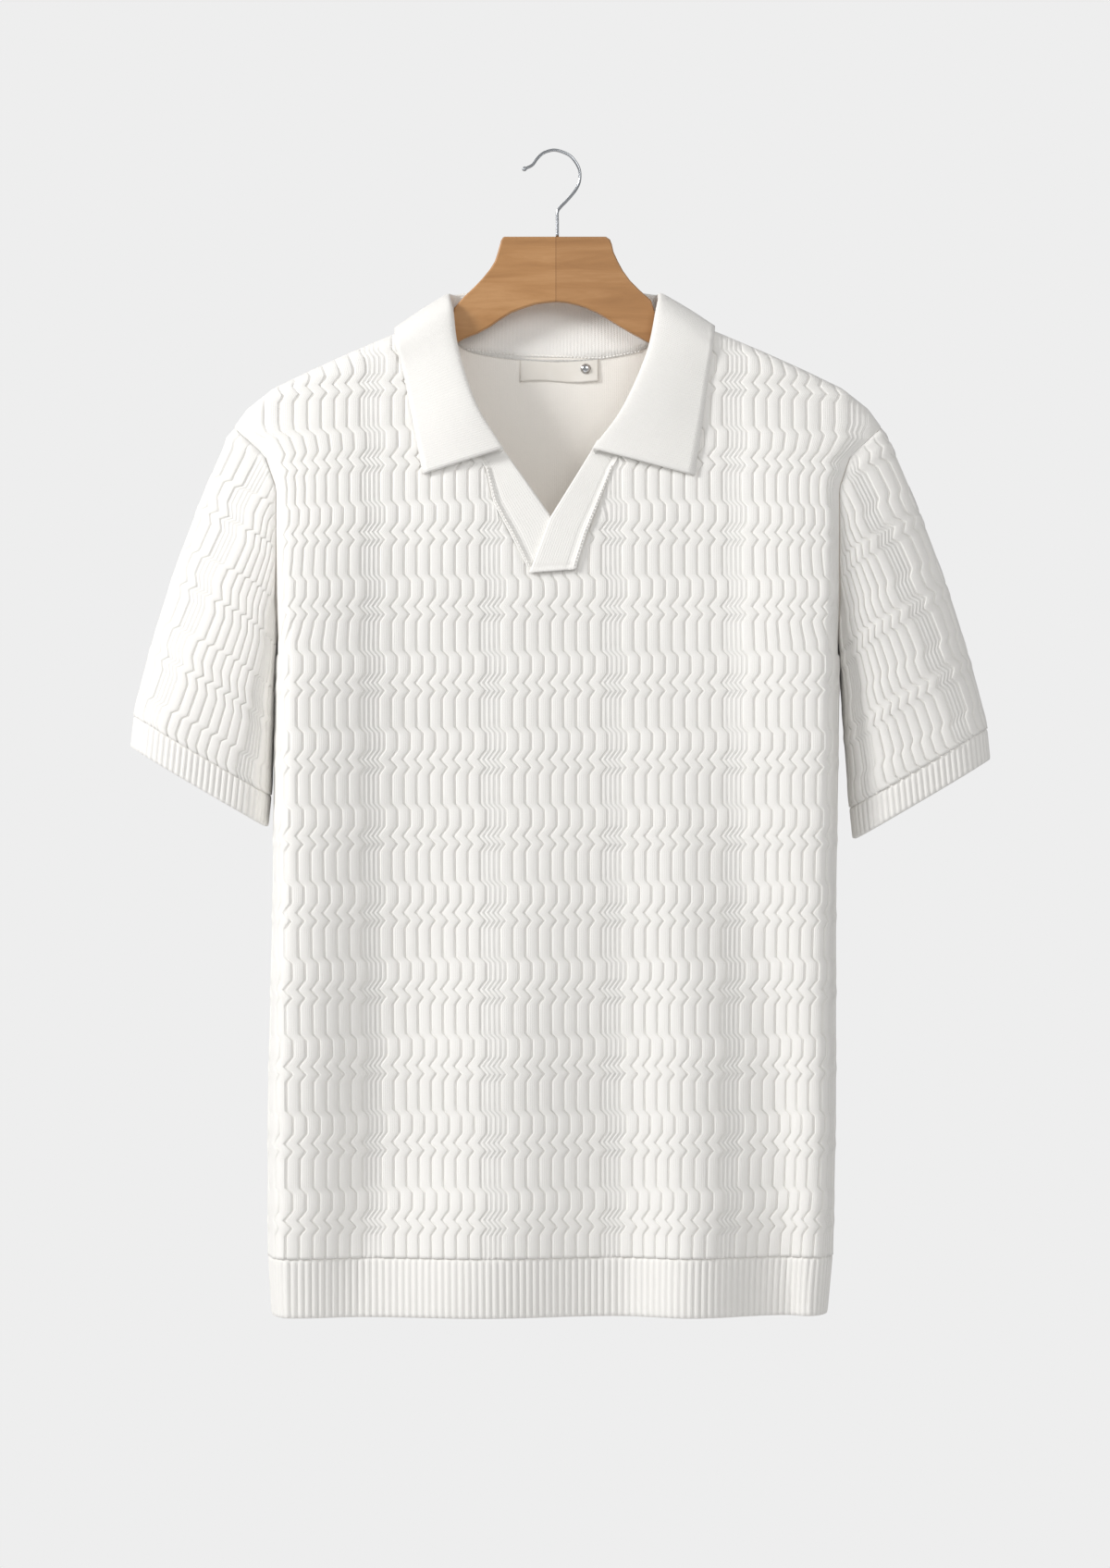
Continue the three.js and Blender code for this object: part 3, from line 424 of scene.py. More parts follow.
def cotton_knit(name, stitch=1.25, course=1.0, strength=0.35):
    """Mercerised cotton, plain knitted: a dry, soft face with fine V stitches that catch a little light."""
    material, tree, shader = new_material(name)
    uv = add_node(tree, "ShaderNodeUVMap", {"uv_map": "knit"})
    place = add_node(tree, "ShaderNodeSeparateXYZ", links={"Vector": uv.outputs["UV"]})

    def maths(operation, a, b=0.0):
        node = add_node(tree, "ShaderNodeMath", {"operation": operation})
        for socket, value in zip(node.inputs, (a, b)):
            if isinstance(value, (int, float)):
                socket.default_value = value
            else:
                tree.links.new(value, socket)
        return node.outputs[0]

    # One wale of stitches is stitch mm wide, one course is course mm high
    wale = maths("MULTIPLY", place.outputs["X"], 1000 / stitch)
    row = maths("MULTIPLY", place.outputs["Y"], 1000 / course)
    arm = maths("ABSOLUTE", maths("SUBTRACT", maths("FRACT", wale), 0.5))
    loop = maths("SINE", maths("MULTIPLY", maths("ADD", row, maths("MULTIPLY", arm, 1.6)), 2 * PI))
    rail = maths("COSINE", maths("MULTIPLY", wale, 2 * PI))
    height = maths("ADD", maths("MULTIPLY", loop, 0.5), maths("MULTIPLY", rail, -0.6))
    fuzz = add_node(tree, "ShaderNodeTexNoise", {"Scale": 900.0, "Detail": 2.0},
                    {"Vector": add_node(tree, "ShaderNodeTexCoord").outputs["Object"]})
    height = maths("ADD", height, maths("MULTIPLY", fuzz.outputs["Fac"], 1.2))
    bump = add_node(tree, "ShaderNodeBump", {"Strength": strength, "Distance": 0.0003}, {"Height": height})
    patch = add_node(tree, "ShaderNodeTexNoise", {"Scale": 14.0, "Detail": 3.0},
                     {"Vector": add_node(tree, "ShaderNodeTexCoord").outputs["Object"]})
    ramp = add_node(tree, "ShaderNodeValToRGB", links={"Fac": patch.outputs["Fac"]})
    ramp.color_ramp.elements[0].position = 0.3
    tint = tuple(bpy.context.scene.polo_shirt.yarn)
    ramp.color_ramp.elements[0].color = tint + (1.0,)
    ramp.color_ramp.elements[1].position = 0.75
    ramp.color_ramp.elements[1].color = tuple(min(1, c * 1.03) for c in tint) + (1.0,)
    # The inner faces get a warm tint of painted shade, and a faint painted glow stands in for the light
    # that comes through the cloth to them
    inside = add_node(tree, "ShaderNodeAttribute", {"attribute_name": "inside"}).outputs["Fac"]
    inside_shade_tint = add_node(tree, "ShaderNodeMix", {"data_type": "RGBA", "blend_type": "MULTIPLY"})
    tree.links.new(inside, inside_shade_tint.inputs["Factor"])
    tree.links.new(ramp.outputs["Color"], inside_shade_tint.inputs["A"])
    inside_shade_tint.inputs["B"].default_value = (1.0, 0.98, 0.955, 1.0)
    tree.links.new(inside_shade_tint.outputs["Result"], shader.inputs["Base Color"])
    tree.links.new(bump.outputs["Normal"], shader.inputs["Normal"])
    # Faint painted glow on the inner faces, standing in for light through the cloth
    shader.inputs["Emission Color"].default_value = (1.0, 0.96, 0.92, 1.0)
    tree.links.new(maths("MULTIPLY", inside, 0.06), shader.inputs["Emission Strength"])
    shader.inputs["Roughness"].default_value = 0.9
    shader.inputs["IOR"].default_value = 1.45
    shader.inputs["Specular IOR Level"].default_value = 0.2
    shader.inputs["Sheen Weight"].default_value = 0.12
    shader.inputs["Sheen Roughness"].default_value = 0.5
    return material


def beech_wood():
    """Beech, turned and lacquered: warm brown, fine long grain, darker streaks and a few small knots."""
    material, tree, shader = new_material("lacquered beech")
    coords = add_node(tree, "ShaderNodeTexCoord")
    place = {"Vector": coords.outputs["Object"]}
    stretch = add_node(tree, "ShaderNodeMapping", {"Scale": (4.0, 30.0, 34.0)}, place)
    # Grain lines about 13 mm apart along Z and 110 mm long along X
    figure = {"Scale": 2.2, "Detail": 8.0, "Roughness": 0.65, "Distortion": 0.6}
    grain = add_node(tree, "ShaderNodeTexNoise", figure, {"Vector": stretch.outputs["Vector"]})
    # Knots 38 mm apart
    knots = add_node(tree, "ShaderNodeTexVoronoi", {"Scale": 26.0, "Randomness": 1.0}, place)
    colours = add_node(tree, "ShaderNodeValToRGB", links={"Fac": grain.outputs["Fac"]})
    ramp = colours.color_ramp
    ramp.elements[0].position = 0.28
    ramp.elements[0].color = linear("#A37445")
    ramp.elements[1].position = 0.72
    ramp.elements[1].color = linear("#C79766")
    middle = ramp.elements.new(0.5)
    middle.color = linear("#B58452")
    dark = add_node(tree, "ShaderNodeValToRGB", links={"Fac": knots.outputs["Distance"]})
    dark.color_ramp.elements[0].position = 0.02
    dark.color_ramp.elements[0].color = linear("#6B4628")
    dark.color_ramp.elements[1].position = 0.10
    dark.color_ramp.elements[1].color = (1.0, 1.0, 1.0, 1.0)
    mixed = add_node(tree, "ShaderNodeMix", {"data_type": "RGBA", "blend_type": "MULTIPLY"})
    mixed.inputs["Factor"].default_value = 0.8
    tree.links.new(colours.outputs["Color"], mixed.inputs["A"])
    tree.links.new(dark.outputs["Color"], mixed.inputs["B"])
    # Two blanks meet at a glue line 1.4 mm left of the middle, 0.5 mm wide.
    # The right one is a little darker.
    across = add_node(tree, "ShaderNodeSeparateXYZ", links=place)
    joint = add_node(tree, "ShaderNodeValToRGB")
    window = {"From Min": -0.0114, "From Max": 0.0086}
    spot = add_node(tree, "ShaderNodeMapRange", window, {"Value": across.outputs["X"]})
    tree.links.new(spot.outputs["Result"], joint.inputs["Fac"])
    steps = joint.color_ramp
    steps.interpolation = "CONSTANT"
    steps.elements[0].color = (1.0, 1.0, 1.0, 1.0)
    steps.elements[1].position = 0.5125
    steps.elements[1].color = (0.93, 0.92, 0.91, 1.0)
    line = steps.elements.new(0.4875)
    line.color = (0.62, 0.56, 0.5, 1.0)
    jointed = add_node(tree, "ShaderNodeMix", {"data_type": "RGBA", "blend_type": "MULTIPLY"})
    jointed.inputs["Factor"].default_value = 1.0
    tree.links.new(mixed.outputs["Result"], jointed.inputs["A"])
    tree.links.new(joint.outputs["Color"], jointed.inputs["B"])
    tree.links.new(jointed.outputs["Result"], shader.inputs["Base Color"])
    relief = {"Strength": 0.15, "Distance": 0.0004}
    bump = add_node(tree, "ShaderNodeBump", relief, {"Height": grain.outputs["Fac"]})
    tree.links.new(bump.outputs["Normal"], shader.inputs["Normal"])
    shader.inputs["Roughness"].default_value = 0.45
    shader.inputs["Coat Weight"].default_value = 0.15
    shader.inputs["Coat Roughness"].default_value = 0.3
    return material


def drawn_steel(name, tint="#B9BCC0", rough=0.22):
    """Drawn steel wire, nickel plated: bright, with faint streaks along it."""
    material, tree, shader = new_material(name)
    coords = add_node(tree, "ShaderNodeTexCoord")
    # Streaks 1.4 mm long
    place = {"Vector": coords.outputs["Object"]}
    streaks = add_node(tree, "ShaderNodeTexNoise", {"Scale": 700.0, "Detail": 2.0}, place)
    spread = add_node(tree, "ShaderNodeMapRange", {"To Min": rough * 0.8, "To Max": rough * 1.4},
                      {"Value": streaks.outputs["Fac"]})
    tree.links.new(spread.outputs["Result"], shader.inputs["Roughness"])
    shader.inputs["Base Color"].default_value = linear(tint)
    shader.inputs["Metallic"].default_value = 1.0
    return material


def label_leather():
    """Smooth split leather, pale: slight pores and a soft sheen."""
    material, tree, shader = new_material("pale split leather")
    coords = add_node(tree, "ShaderNodeTexCoord")
    # Pores 0.7 mm apart, and cloudy patches of 17 mm
    place = {"Vector": coords.outputs["Object"]}
    pores = add_node(tree, "ShaderNodeTexNoise", {"Scale": 1400.0, "Detail": 4.0}, place)
    clouds = add_node(tree, "ShaderNodeTexNoise", {"Scale": 60.0, "Detail": 2.0}, place)
    ramp = add_node(tree, "ShaderNodeValToRGB", links={"Fac": clouds.outputs["Fac"]})
    ramp.color_ramp.elements[0].color = linear("#EBE5DB")
    ramp.color_ramp.elements[1].color = linear("#F8F5EF")
    relief = {"Strength": 0.2, "Distance": 0.0002}
    bump = add_node(tree, "ShaderNodeBump", relief, {"Height": pores.outputs["Fac"]})
    tree.links.new(ramp.outputs["Color"], shader.inputs["Base Color"])
    tree.links.new(bump.outputs["Normal"], shader.inputs["Normal"])
    shader.inputs["Roughness"].default_value = 0.5
    return material


def studio_paper():
    """Pale background paper: matt, even, with a barely visible tooth."""
    material, tree, shader = new_material("background paper")
    coords = add_node(tree, "ShaderNodeTexCoord")
    tooth = add_node(tree, "ShaderNodeTexNoise", {"Scale": 300.0}, {"Vector": coords.outputs["Object"]})
    relief = {"Strength": 0.02, "Distance": 0.0002}
    bump = add_node(tree, "ShaderNodeBump", relief, {"Height": tooth.outputs["Fac"]})
    tree.links.new(bump.outputs["Normal"], shader.inputs["Normal"])
    shader.inputs["Base Color"].default_value = linear("#EDEDED")
    shader.inputs["Roughness"].default_value = 0.95
    return material


MATERIALS = {}


def material_for(name):
    makers = {
        "panel": lambda: cotton_knit("cotton rib knit"),
        "band": lambda: cotton_knit("cotton band rib", stitch=1.2),
        "collar": lambda: cotton_knit("cotton collar knit", stitch=1.5, course=1.3, strength=0.4),
        "wood": beech_wood,
        "wire": lambda: drawn_steel("nickel plated wire"),
        "snap": lambda: drawn_steel("polished snap steel", "#D5D6D8", 0.12),
        "leather": label_leather,
    }
    if name not in MATERIALS:
        MATERIALS[name] = makers[name]()
    return MATERIALS[name]


def ground_reader(panel):
    """Reader of the panel's ground at any wales and heights, from a fine table of its rows."""
    wales = np.linspace(-SIDE_WALE, SIDE_WALE, 495)
    levels = np.arange(HEM_Z - 2, SHOULDER_Z[0] + 1, 1.0)
    grid = np.stack([panel_row(panel, wales, z) for z in levels])

    def read(wale, z):
        a = np.clip(wale - wales[0], 0, len(wales) - 1.001)
        b = np.clip(z - levels[0], 0, len(levels) - 1.001)
        i, j = a.astype(int), b.astype(int)
        s, t = (a - i)[..., None], (b - j)[..., None]
        low = grid[j, i] * (1 - s) + grid[j, i + 1] * s
        high = grid[j + 1, i] * (1 - s) + grid[j + 1, i + 1] * s
        return low * (1 - t) + high * t

    return read


def off_ground(read, wale, z, side, distance, step=1.0):
    """Points at a distance from the panel's ground, along its normal."""
    across = read(wale + step, z) - read(wale - step, z)
    up = read(wale, z + step) - read(wale, z - step)
    normal = np.cross(across, up) * -side
    normal /= np.maximum(np.linalg.norm(normal, axis=-1), 1e-9)[..., None]
    return read(wale, z) + normal * np.asarray(distance)[..., None]


def zip_chains(left, right):
    """Triangles between two chains of (point number, place along)."""
    faces, i, j = [], 0, 0
    while i < len(left) - 1 or j < len(right) - 1:
        if j == len(right) - 1 or (i < len(left) - 1 and left[i + 1][1] <= right[j + 1][1]):
            faces.append((left[i][0], right[j][0], left[i + 1][0]))
            i += 1
        else:
            faces.append((left[i][0], right[j][0], right[j + 1][0]))
            j += 1
    return faces


def layer_faces(index, ring=False):
    """Faces of a layer whose columns end at different heights; a repeated point ends a column."""
    faces = []
    columns = list(zip(index, np.roll(index, -1, axis=0)))
    for a, b in columns if ring else columns[:-1]:
        for j in range(index.shape[1] - 1):
            corners = [int(a[j]), int(b[j]), int(b[j + 1]), int(a[j + 1])]
            face = [c for k, c in enumerate(corners) if c != corners[k - 1]]
            if len(set(face)) >= 3:
                faces.append(tuple(face))
    return faces


def wave_levels(low, high):
    """Heights of the mesh rows, set where the ribs bend."""
    offsets = np.array([-2.8, 0, 2.8, 5.6, 8.4, 11, 17, 23, 29.3, 31.4, 33.5, 35.6, 40.7, 45.8, 48.2, 50.6])
    waves = int((FIRST_WAVE_Z - low) / WAVE) + 3
    levels = np.concatenate([FIRST_WAVE_Z - k * WAVE - offsets for k in range(-2, waves)])
    return np.unique(np.concatenate([[low], levels[(levels > low + 0.8) & (levels < high)]]))


class Cloth:
    """Collects the points of a closed wall of cloth."""

    def __init__(self):
        self.points = []
        self.uvs = []

    def add(self, rows, heights, wales, tops, ends, margin):
        """Add a layer: rows of points below each column's top, then its last points."""
        index = np.full((len(wales), heights.shape[1] + len(ends)), -1, dtype=np.int64)
        for i, wale in enumerate(wales):
            for j in np.nonzero(heights[i] < tops[i] - margin)[0]:
                index[i, j] = len(self.points)
                self.points.append(rows[i, j])
                self.uvs.append((wale, heights[i, j]))
            index[i, index[i] < 0] = index[i].max()
            for k, end in enumerate(ends):
                index[i, heights.shape[1] + k] = len(self.points)
                self.points.append(end[i])
                self.uvs.append((wale, tops[i]))
        return index

    def close(self, name, outer, inner, outer_at, inner_at, ring=False):
        """Join the two layers along their rims and make the object."""
        faces = layer_faces(outer, ring) + [face[::-1] for face in layer_faces(inner, ring)]
        for row in (0, -1):
            layers = ((outer, outer_at), (inner, inner_at))
            chains = [list(zip(index[:, row].tolist(), at)) for index, at in layers]
            if ring:
                chains = [chain + [(chain[0][0], 1e9)] for chain in chains]
            faces += zip_chains(*chains)
        if not ring:
            for column in (0, -1):
                chains = []
                for index in (outer, inner):
                    numbers = list(dict.fromkeys(index[column].tolist()))
                    chains.append([(n, self.uvs[n][1]) for n in numbers])
                faces += zip_chains(*chains)
        made = new_mesh_object(name, self.points, faces, self.uvs)
        turn_outward(made)
        inside = np.zeros(len(self.points), dtype=np.float32)
        inside[np.unique(inner)] = 1.0
        made.data.attributes.new("inside", "FLOAT", "POINT").data.foreach_set("value", inside)
        return made


def turn_outward(made):
    """Let every face of a closed mesh look outward."""
    mesh = bmesh.new()
    mesh.from_mesh(made.data)
    bmesh.ops.recalc_face_normals(mesh, faces=mesh.faces)
    mesh.to_mesh(made.data)
    mesh.free()


def knit_panel(panel, sizes):
    """One body panel: mesh columns follow the wales, and the ribs stand out of its ground."""
    side = -1 if panel == "front" else 1
    read = ground_reader(panel)
    columns = rib_profile(sizes.narrow_height / MM, sizes.rib_height / MM, -SIDE_WALE + 1, SIDE_WALE - 1)
    wales = np.concatenate([[-SIDE_WALE], columns[:, 0], [SIDE_WALE]])
    lifts = np.concatenate([[0], columns[:, 1], [0]])
    tops = np.array([panel_top(panel, wale) for wale in wales])
    levels = wave_levels(BAND_Z + SEAM_HALF, SHOULDER_Z[0] + 9)
    droop = 9 * (np.abs(wales)[:, None] / 235) ** 2 * smoothstep(levels, CHEST_Z, SHOULDER_END_Z)
    heights = levels - droop
    near_top = tops[:, None] - heights
    edge_fade = np.clip((SIDE_WALE - np.abs(wales)) / 12, 0, 1)[:, None]
    shift = -side * wave_shift(FIRST_WAVE_Z - levels) * edge_fade * np.clip(near_top / 12, 0, 1)
    share = np.clip(near_top / 4, 0, 1)
    beside = np.clip((ARMHOLE_WALE - 4 - np.abs(wales)) / 8, 0, 1)[:, None]
    share = np.where(heights > ARMPIT_Z - ROLL, share * beside, share)
    relief = (lifts[:, None] + pucker(FIRST_WAVE_Z - levels)) * share
    rows = off_ground(read, wales[:, None] + shift, heights, side, relief)
    cloth = Cloth()

    def ends(some, thickness):
        """Last points of each column, turned over the cloth's edge."""
        found = []
        for below, inward in ((1.0, 0.0), (0.25, 0.1)):
            spots = [panel_row(panel, some[i:i + 1], z - below)[0] for i, z in enumerate(tops_of(some))]
            found.append(np.array(spots) - np.array([0, side * (thickness + inward), 0]))
        return found

    def tops_of(some):
        return np.array([panel_top(panel, wale) for wale in some])

    outer = cloth.add(rows, heights, wales, tops, ends(wales, 0.0), 1.6)
    few = np.linspace(-SIDE_WALE, SIDE_WALE, 107)
    few_tops = tops_of(few)
    few_levels = np.arange(BAND_Z + SEAM_HALF, SHOULDER_Z[0], 9.3)
    grid = np.broadcast_to(few_levels, (len(few), len(few_levels)))
    inside = off_ground(read, few[:, None] + 0 * grid, grid, side, np.full(grid.shape, -1.6))
    inner = cloth.add(inside, grid, few, few_tops, ends(few, 1.5), 1.6)
    made = cloth.close(f"{panel}_knit", outer, inner, wales, few)
    finish_piece(made, material_for("panel"), "rib_knit", f"{panel}_panel")
    return made


def hem_knit(panel, sizes):
    """Narrow rib band along the hem, turned in a little at its lower edge."""
    side = -1 if panel == "front" else 1
    per_rib = ((0.0, 0.0), (0.9, 0.75), (2.45, 1.0), (4.0, 0.75))
    ribs = int(2 * SIDE_WALE / HEM_RIB)
    pitch = 2 * SIDE_WALE / ribs
    wales, lifts = [], []
    for k in range(ribs):
        for at, share in per_rib:
            wales.append(-SIDE_WALE + (k + at / HEM_RIB) * pitch)
            lifts.append(share * sizes.edge_height / MM)
    wales = np.array(wales + [SIDE_WALE])
    lifts = np.array(lifts + [0.0])
    inner = [(z, -1.6, 0.0) for z in np.linspace(BAND_Z - 0.3, HEM_Z + 0.8, 5)]
    outer = [(HEM_Z, -0.9, 0.2), (HEM_Z + 0.5, 0.0, 0.7)]
    outer += [(z, 0.0, 1.0) for z in np.linspace(HEM_Z + 3, BAND_Z - 3, 10)]
    outer += [(BAND_Z - 1.2, 0.0, 0.75), (BAND_Z - 0.2, -0.1, 0.2), (BAND_Z + 1.2, -0.8, 0.0)]
    rows, uvs = [], []
    for z, offset, share in inner + outer:
        here = panel_row(panel, wales, z)
        low, high = np.maximum(wales - 0.5, -SIDE_WALE), np.minimum(wales + 0.5, SIDE_WALE)
        across = panel_row(panel, high, z) - panel_row(panel, low, z)
        normal = np.cross(across, (0, 0, 1.0)) * -side
        normal /= np.linalg.norm(normal, axis=1)[:, None]
        rows.append(here + normal * (offset + lifts * share)[:, None])
        uvs.append(np.column_stack([wales, np.full(len(wales), z)]))
    made = band_object(f"{panel}_hem_band", rows, uvs)
    finish_piece(made, material_for("band"), "edge_knit", f"hem_rib_{panel}")
    return made


def band_object(name, rows, uvs, ring=False):
    """Closed band from its rows, which go down its inside and up its outside."""
    points = np.stack(rows)
    count, width = points.shape[:2]
    faces = []
    for j in range(count):
        a, b = j * width, (j + 1) % count * width
        across = [(i, (i + 1) % width) for i in range(width if ring else width - 1)]
        faces += [(a + i, b + i, b + n, a + n) for i, n in across]
    if not ring:
        faces.append(tuple(j * width for j in range(count)))
        faces.append(tuple(j * width + width - 1 for j in range(count)))
    made = new_mesh_object(name, points.reshape(-1, 3), faces, np.stack(uvs).reshape(-1, 2))
    turn_outward(made)
    return made


def ring_reader(line):
    """Place at a share of the length of a closed line."""
    closed = np.vstack([line, line[:1]])
    steps = np.concatenate([[0], np.cumsum(np.linalg.norm(np.diff(closed, axis=0), axis=1))])

    def place(share):
        at = np.mod(share, 1.0) * steps[-1]
        return np.column_stack([np.interp(at, steps, closed[:, k]) for k in range(3)])

    return place


def armhole_line(hand):
    levels = np.linspace(panel_top("front", hand * SIDE_WALE), ARMPIT_Z, 41)
    edge = np.array([hand * SIDE_WALE])
    front = [panel_row("front", edge, z)[0] for z in levels]
    back = [panel_row("back", edge, z)[0] for z in levels[:-1][::-1]]
    return np.array(front + back) + np.array([hand * 0.5, 0, 0])


def cuff_line(cuff, height):
    angles = np.linspace(0, 2 * PI, 193)[:-1]
    power = 2 / CUFF_SQUARENESS
    across = np.sign(np.cos(angles)) * np.abs(np.cos(angles)) ** power
    forward = np.sign(np.sin(angles)) * np.abs(np.sin(angles)) ** power
    middle = np.array(cuff["middle"]) + np.array(cuff["up"]) * height
    front = np.array([0, -CUFF_DEPTH, 0])
    return middle + across[:, None] * np.array(cuff["reach"]) + forward[:, None] * front


def sleeve_ground(cuff):
    hand = cuff["hand"]
    low, high = ring_reader(cuff_line(cuff, CUFF_HEIGHT)), ring_reader(armhole_line(hand))

    def surface(share, rise):
        angle = 2 * PI * share
        bulge = SLEEVE_BULGE * np.sin(PI * np.clip(rise, 0, 1)) ** 0.8
        aside = hand * np.maximum(np.cos(angle), 0)
        outward = np.column_stack([aside, -0.6 * np.sin(angle), np.zeros(len(angle))])
        rise = np.asarray(rise)[:, None]
        return low(share) * (1 - rise) + high(share) * rise + outward * bulge[:, None]

    return surface


def knit_sleeve(side_name, sizes):
    """Sleeve tube: ribs run from the cuff up, and zigzag rows go round it."""
    cuff = CUFFS[side_name]
    surface = sleeve_ground(cuff)
    around = SLEEVE_RIBS * WIDE_RIB
    columns = rib_profile(sizes.narrow_height / MM, sizes.rib_height / MM, -0.01, around - 0.5)
    shares, lifts = columns[:, 0] / around, columns[:, 1]
    cloth = Cloth()

    def layer(some, some_lifts, distances, depth_in):
        """One layer of the tube: points at each distance up from the cuff seam."""
        count = len(some)
        lengths = np.linalg.norm(surface(some, np.ones(count)) - surface(some, np.zeros(count)), axis=1)
        rows, last = [], None
        for distance in list(distances) + [None]:
            rise = np.ones(count) if distance is None else np.clip(distance / lengths, 0, 1)
            left = lengths * (1 - rise)
            turned = cuff["hand"] * wave_shift(SLEEVE_WAVE_END - rise * lengths) / around
            turned = turned * np.clip(left / 12, 0, 1) * (0.0 if depth_in else 1.0)
            place = some + turned
            round_it = surface(place + 0.002, rise) - surface(place - 0.002, rise)
            along = surface(place, np.minimum(rise + 0.01, 1)) - surface(place, np.maximum(rise - 0.01, 0))
            normal = np.cross(round_it, along) * -cuff["hand"]
            normal /= np.linalg.norm(normal, axis=1)[:, None]
            swell = pucker(SLEEVE_WAVE_END - rise * lengths) * np.clip(rise * lengths / 3, 0, 1)
            lift = (some_lifts + swell) * np.clip(left / 10, 0, 1) if not depth_in else -depth_in
            last = surface(place, rise) + normal * np.broadcast_to(lift, count)[:, None]
            rows.append(last)
        heights = np.broadcast_to(distances, (count, len(distances)))
        return cloth.add(np.stack(rows[:-1], axis=1), heights, some * around, lengths, [last], 1.5)

    levels = SLEEVE_WAVE_END + wave_levels(-SLEEVE_WAVE_END + FIRST_WAVE_Z + 0.2, 400) - FIRST_WAVE_Z
    outer = layer(shares, lifts, levels, 0.0)
    few = np.linspace(0, 1, 73)[:-1]
    inner = layer(few, np.zeros(len(few)), np.arange(0.2, 400, 9.3), 1.6)
    made = cloth.close(f"{side_name}_sleeve_knit", outer, inner, shares, few, ring=True)
    finish_piece(made, material_for("panel"), "rib_knit", f"sleeve_{side_name}")
    return made


def knit_cuff(side_name, sizes):
    """Narrow rib band round a sleeve's end."""
    cuff = CUFFS[side_name]
    per_rib = ((0.0, 0.0), (0.2, 0.75), (0.5, 1.0), (0.8, 0.75))
    shares = np.array([(k + at) / CUFF_RIBS for k in range(CUFF_RIBS) for at, _ in per_rib])
    lifts = np.array([share * sizes.edge_height / MM for _ in range(CUFF_RIBS) for _, share in per_rib])
    inner = [(height, -1.6, 0.0) for height in np.linspace(CUFF_HEIGHT - 0.3, 0.8, 4)]
    outer = [(0.0, -0.9, 0.2), (0.5, 0.0, 0.7)]
    outer += [(height, 0.0, 1.0) for height in np.linspace(2.5, CUFF_HEIGHT - 2.5, 7)]
    outer += [(CUFF_HEIGHT - 1, 0.0, 0.7), (CUFF_HEIGHT - 0.1, -0.1, 0.2), (CUFF_HEIGHT + 1.2, -0.8, 0.0)]
    rows, uvs = [], []
    for height, offset, share in inner + outer:
        line = ring_reader(cuff_line(cuff, height))
        here = line(shares)
        outward = np.cross(line(shares + 0.002) - line(shares - 0.002), cuff["up"]) * -cuff["hand"]
        outward /= np.linalg.norm(outward, axis=1)[:, None]
        rows.append(here + outward * (offset + lifts * share)[:, None])
        uvs.append(np.column_stack([shares * 312, np.full(len(shares), height)]))
    made = band_object(f"{side_name}_cuff_band", rows, uvs, ring=True)
    finish_piece(made, material_for("band"), "edge_knit", f"cuff_{side_name}")
    return made


def collar_section(row):
    seam_x, seam_z, fold_x, fold_z, fold_y, edge_x, edge_z, side, out = row

    def lay(x, z, lift):
        if side == 0:
            return np.array([x, 0.0, max(z, shoulder_z(x) + lift)])
        panel = "front" if side < 0 else "back"
        return np.array([x, side * (depth(panel, x, z) + lift), z])

    # The stand ends inside the neck, a little below the panels' edge
    lap = 5.5 if side > 0 else 2.5
    seam = lay(seam_x, seam_z - lap, -2.6)
    if side == 0:
        seam[2] = seam_z - lap
    fold = np.array([fold_x, fold_y, fold_z], float)
    edge = lay(edge_x, edge_z, COLLAR_LIFT)
    heading = np.array([math.cos(math.radians(out)), math.sin(math.radians(out)), 0])

    def near(target, away):
        share = min(5 / np.linalg.norm(fold - target), 0.6)
        return fold + (target - fold) * share + heading * away

    leaf = (fold + edge) / 2 + heading * FOLD_LOOP
    return [seam, near(seam, -FOLD_LOOP), fold, near(edge, FOLD_LOOP), leaf, edge]


def smooth_line(points, samples):
    """Points of a smooth curve through the given ones."""
    points = np.asarray(points, float)
    padded = np.vstack([2 * points[0] - points[1], points, 2 * points[-1] - points[-2]])
    at = np.asarray(samples) * (len(points) - 1)
    i = np.minimum(at.astype(int), len(points) - 2)
    t = (at - i)[:, None]
    a, b, c, d = padded[i], padded[i + 1], padded[i + 2], padded[i + 3]
    square = (2 * a - 5 * b + 4 * c - d) * t ** 2
    cube = (3 * b - a - 3 * c + d) * t ** 3
    return 0.5 * (2 * b + (c - a) * t + square + cube)


def over_shoulder(points):
    """Leaf points kept outside the shoulders and the panels."""
    kept = points.copy()
    for k, (x, y, z) in enumerate(points):
        if z >= shoulder_z(x) + COLLAR_LIFT:
            continue
        if abs(y) < 1:
            kept[k, 2] = shoulder_z(x) + COLLAR_LIFT
        else:
            least = depth("front" if y < 0 else "back", x, z) + COLLAR_LIFT - 0.4
            kept[k, 1] = math.copysign(max(abs(y), least), y)
    return kept


def knit_collar():
    """Collar: a stand inside the neck, folded over into a leaf with soft points."""
    sections = [collar_section(row) for row in COLLAR]
    along = np.linspace(0, 1, 181)
    lines = np.stack([smooth_line([s[k] for s in sections], along) for k in range(6)])
    across = np.linspace(0, 1, 31)
    points, uvs = [], []
    for i in range(len(along)):
        section = smooth_line(lines[:, i], across)
        leaf = section[19:]
        section[19:] = over_shoulder(leaf)
        length = np.concatenate([[0], np.cumsum(np.linalg.norm(np.diff(section, axis=0), axis=1))])
        points += list(section)
        uvs += [(along[i] * 480, d) for d in length]
    made = new_mesh_object("collar_knit", points, grid_faces(len(along), len(across)), uvs)
    # The first section's last faces are on the leaf, which looks towards the viewer
    if made.data.polygons[28].normal.y > 0:
        made.data.flip_normals()
    thicken(made, 1.7 * MM)
    finish_piece(made, material_for("collar"), "collar_knit", "collar")
    return made


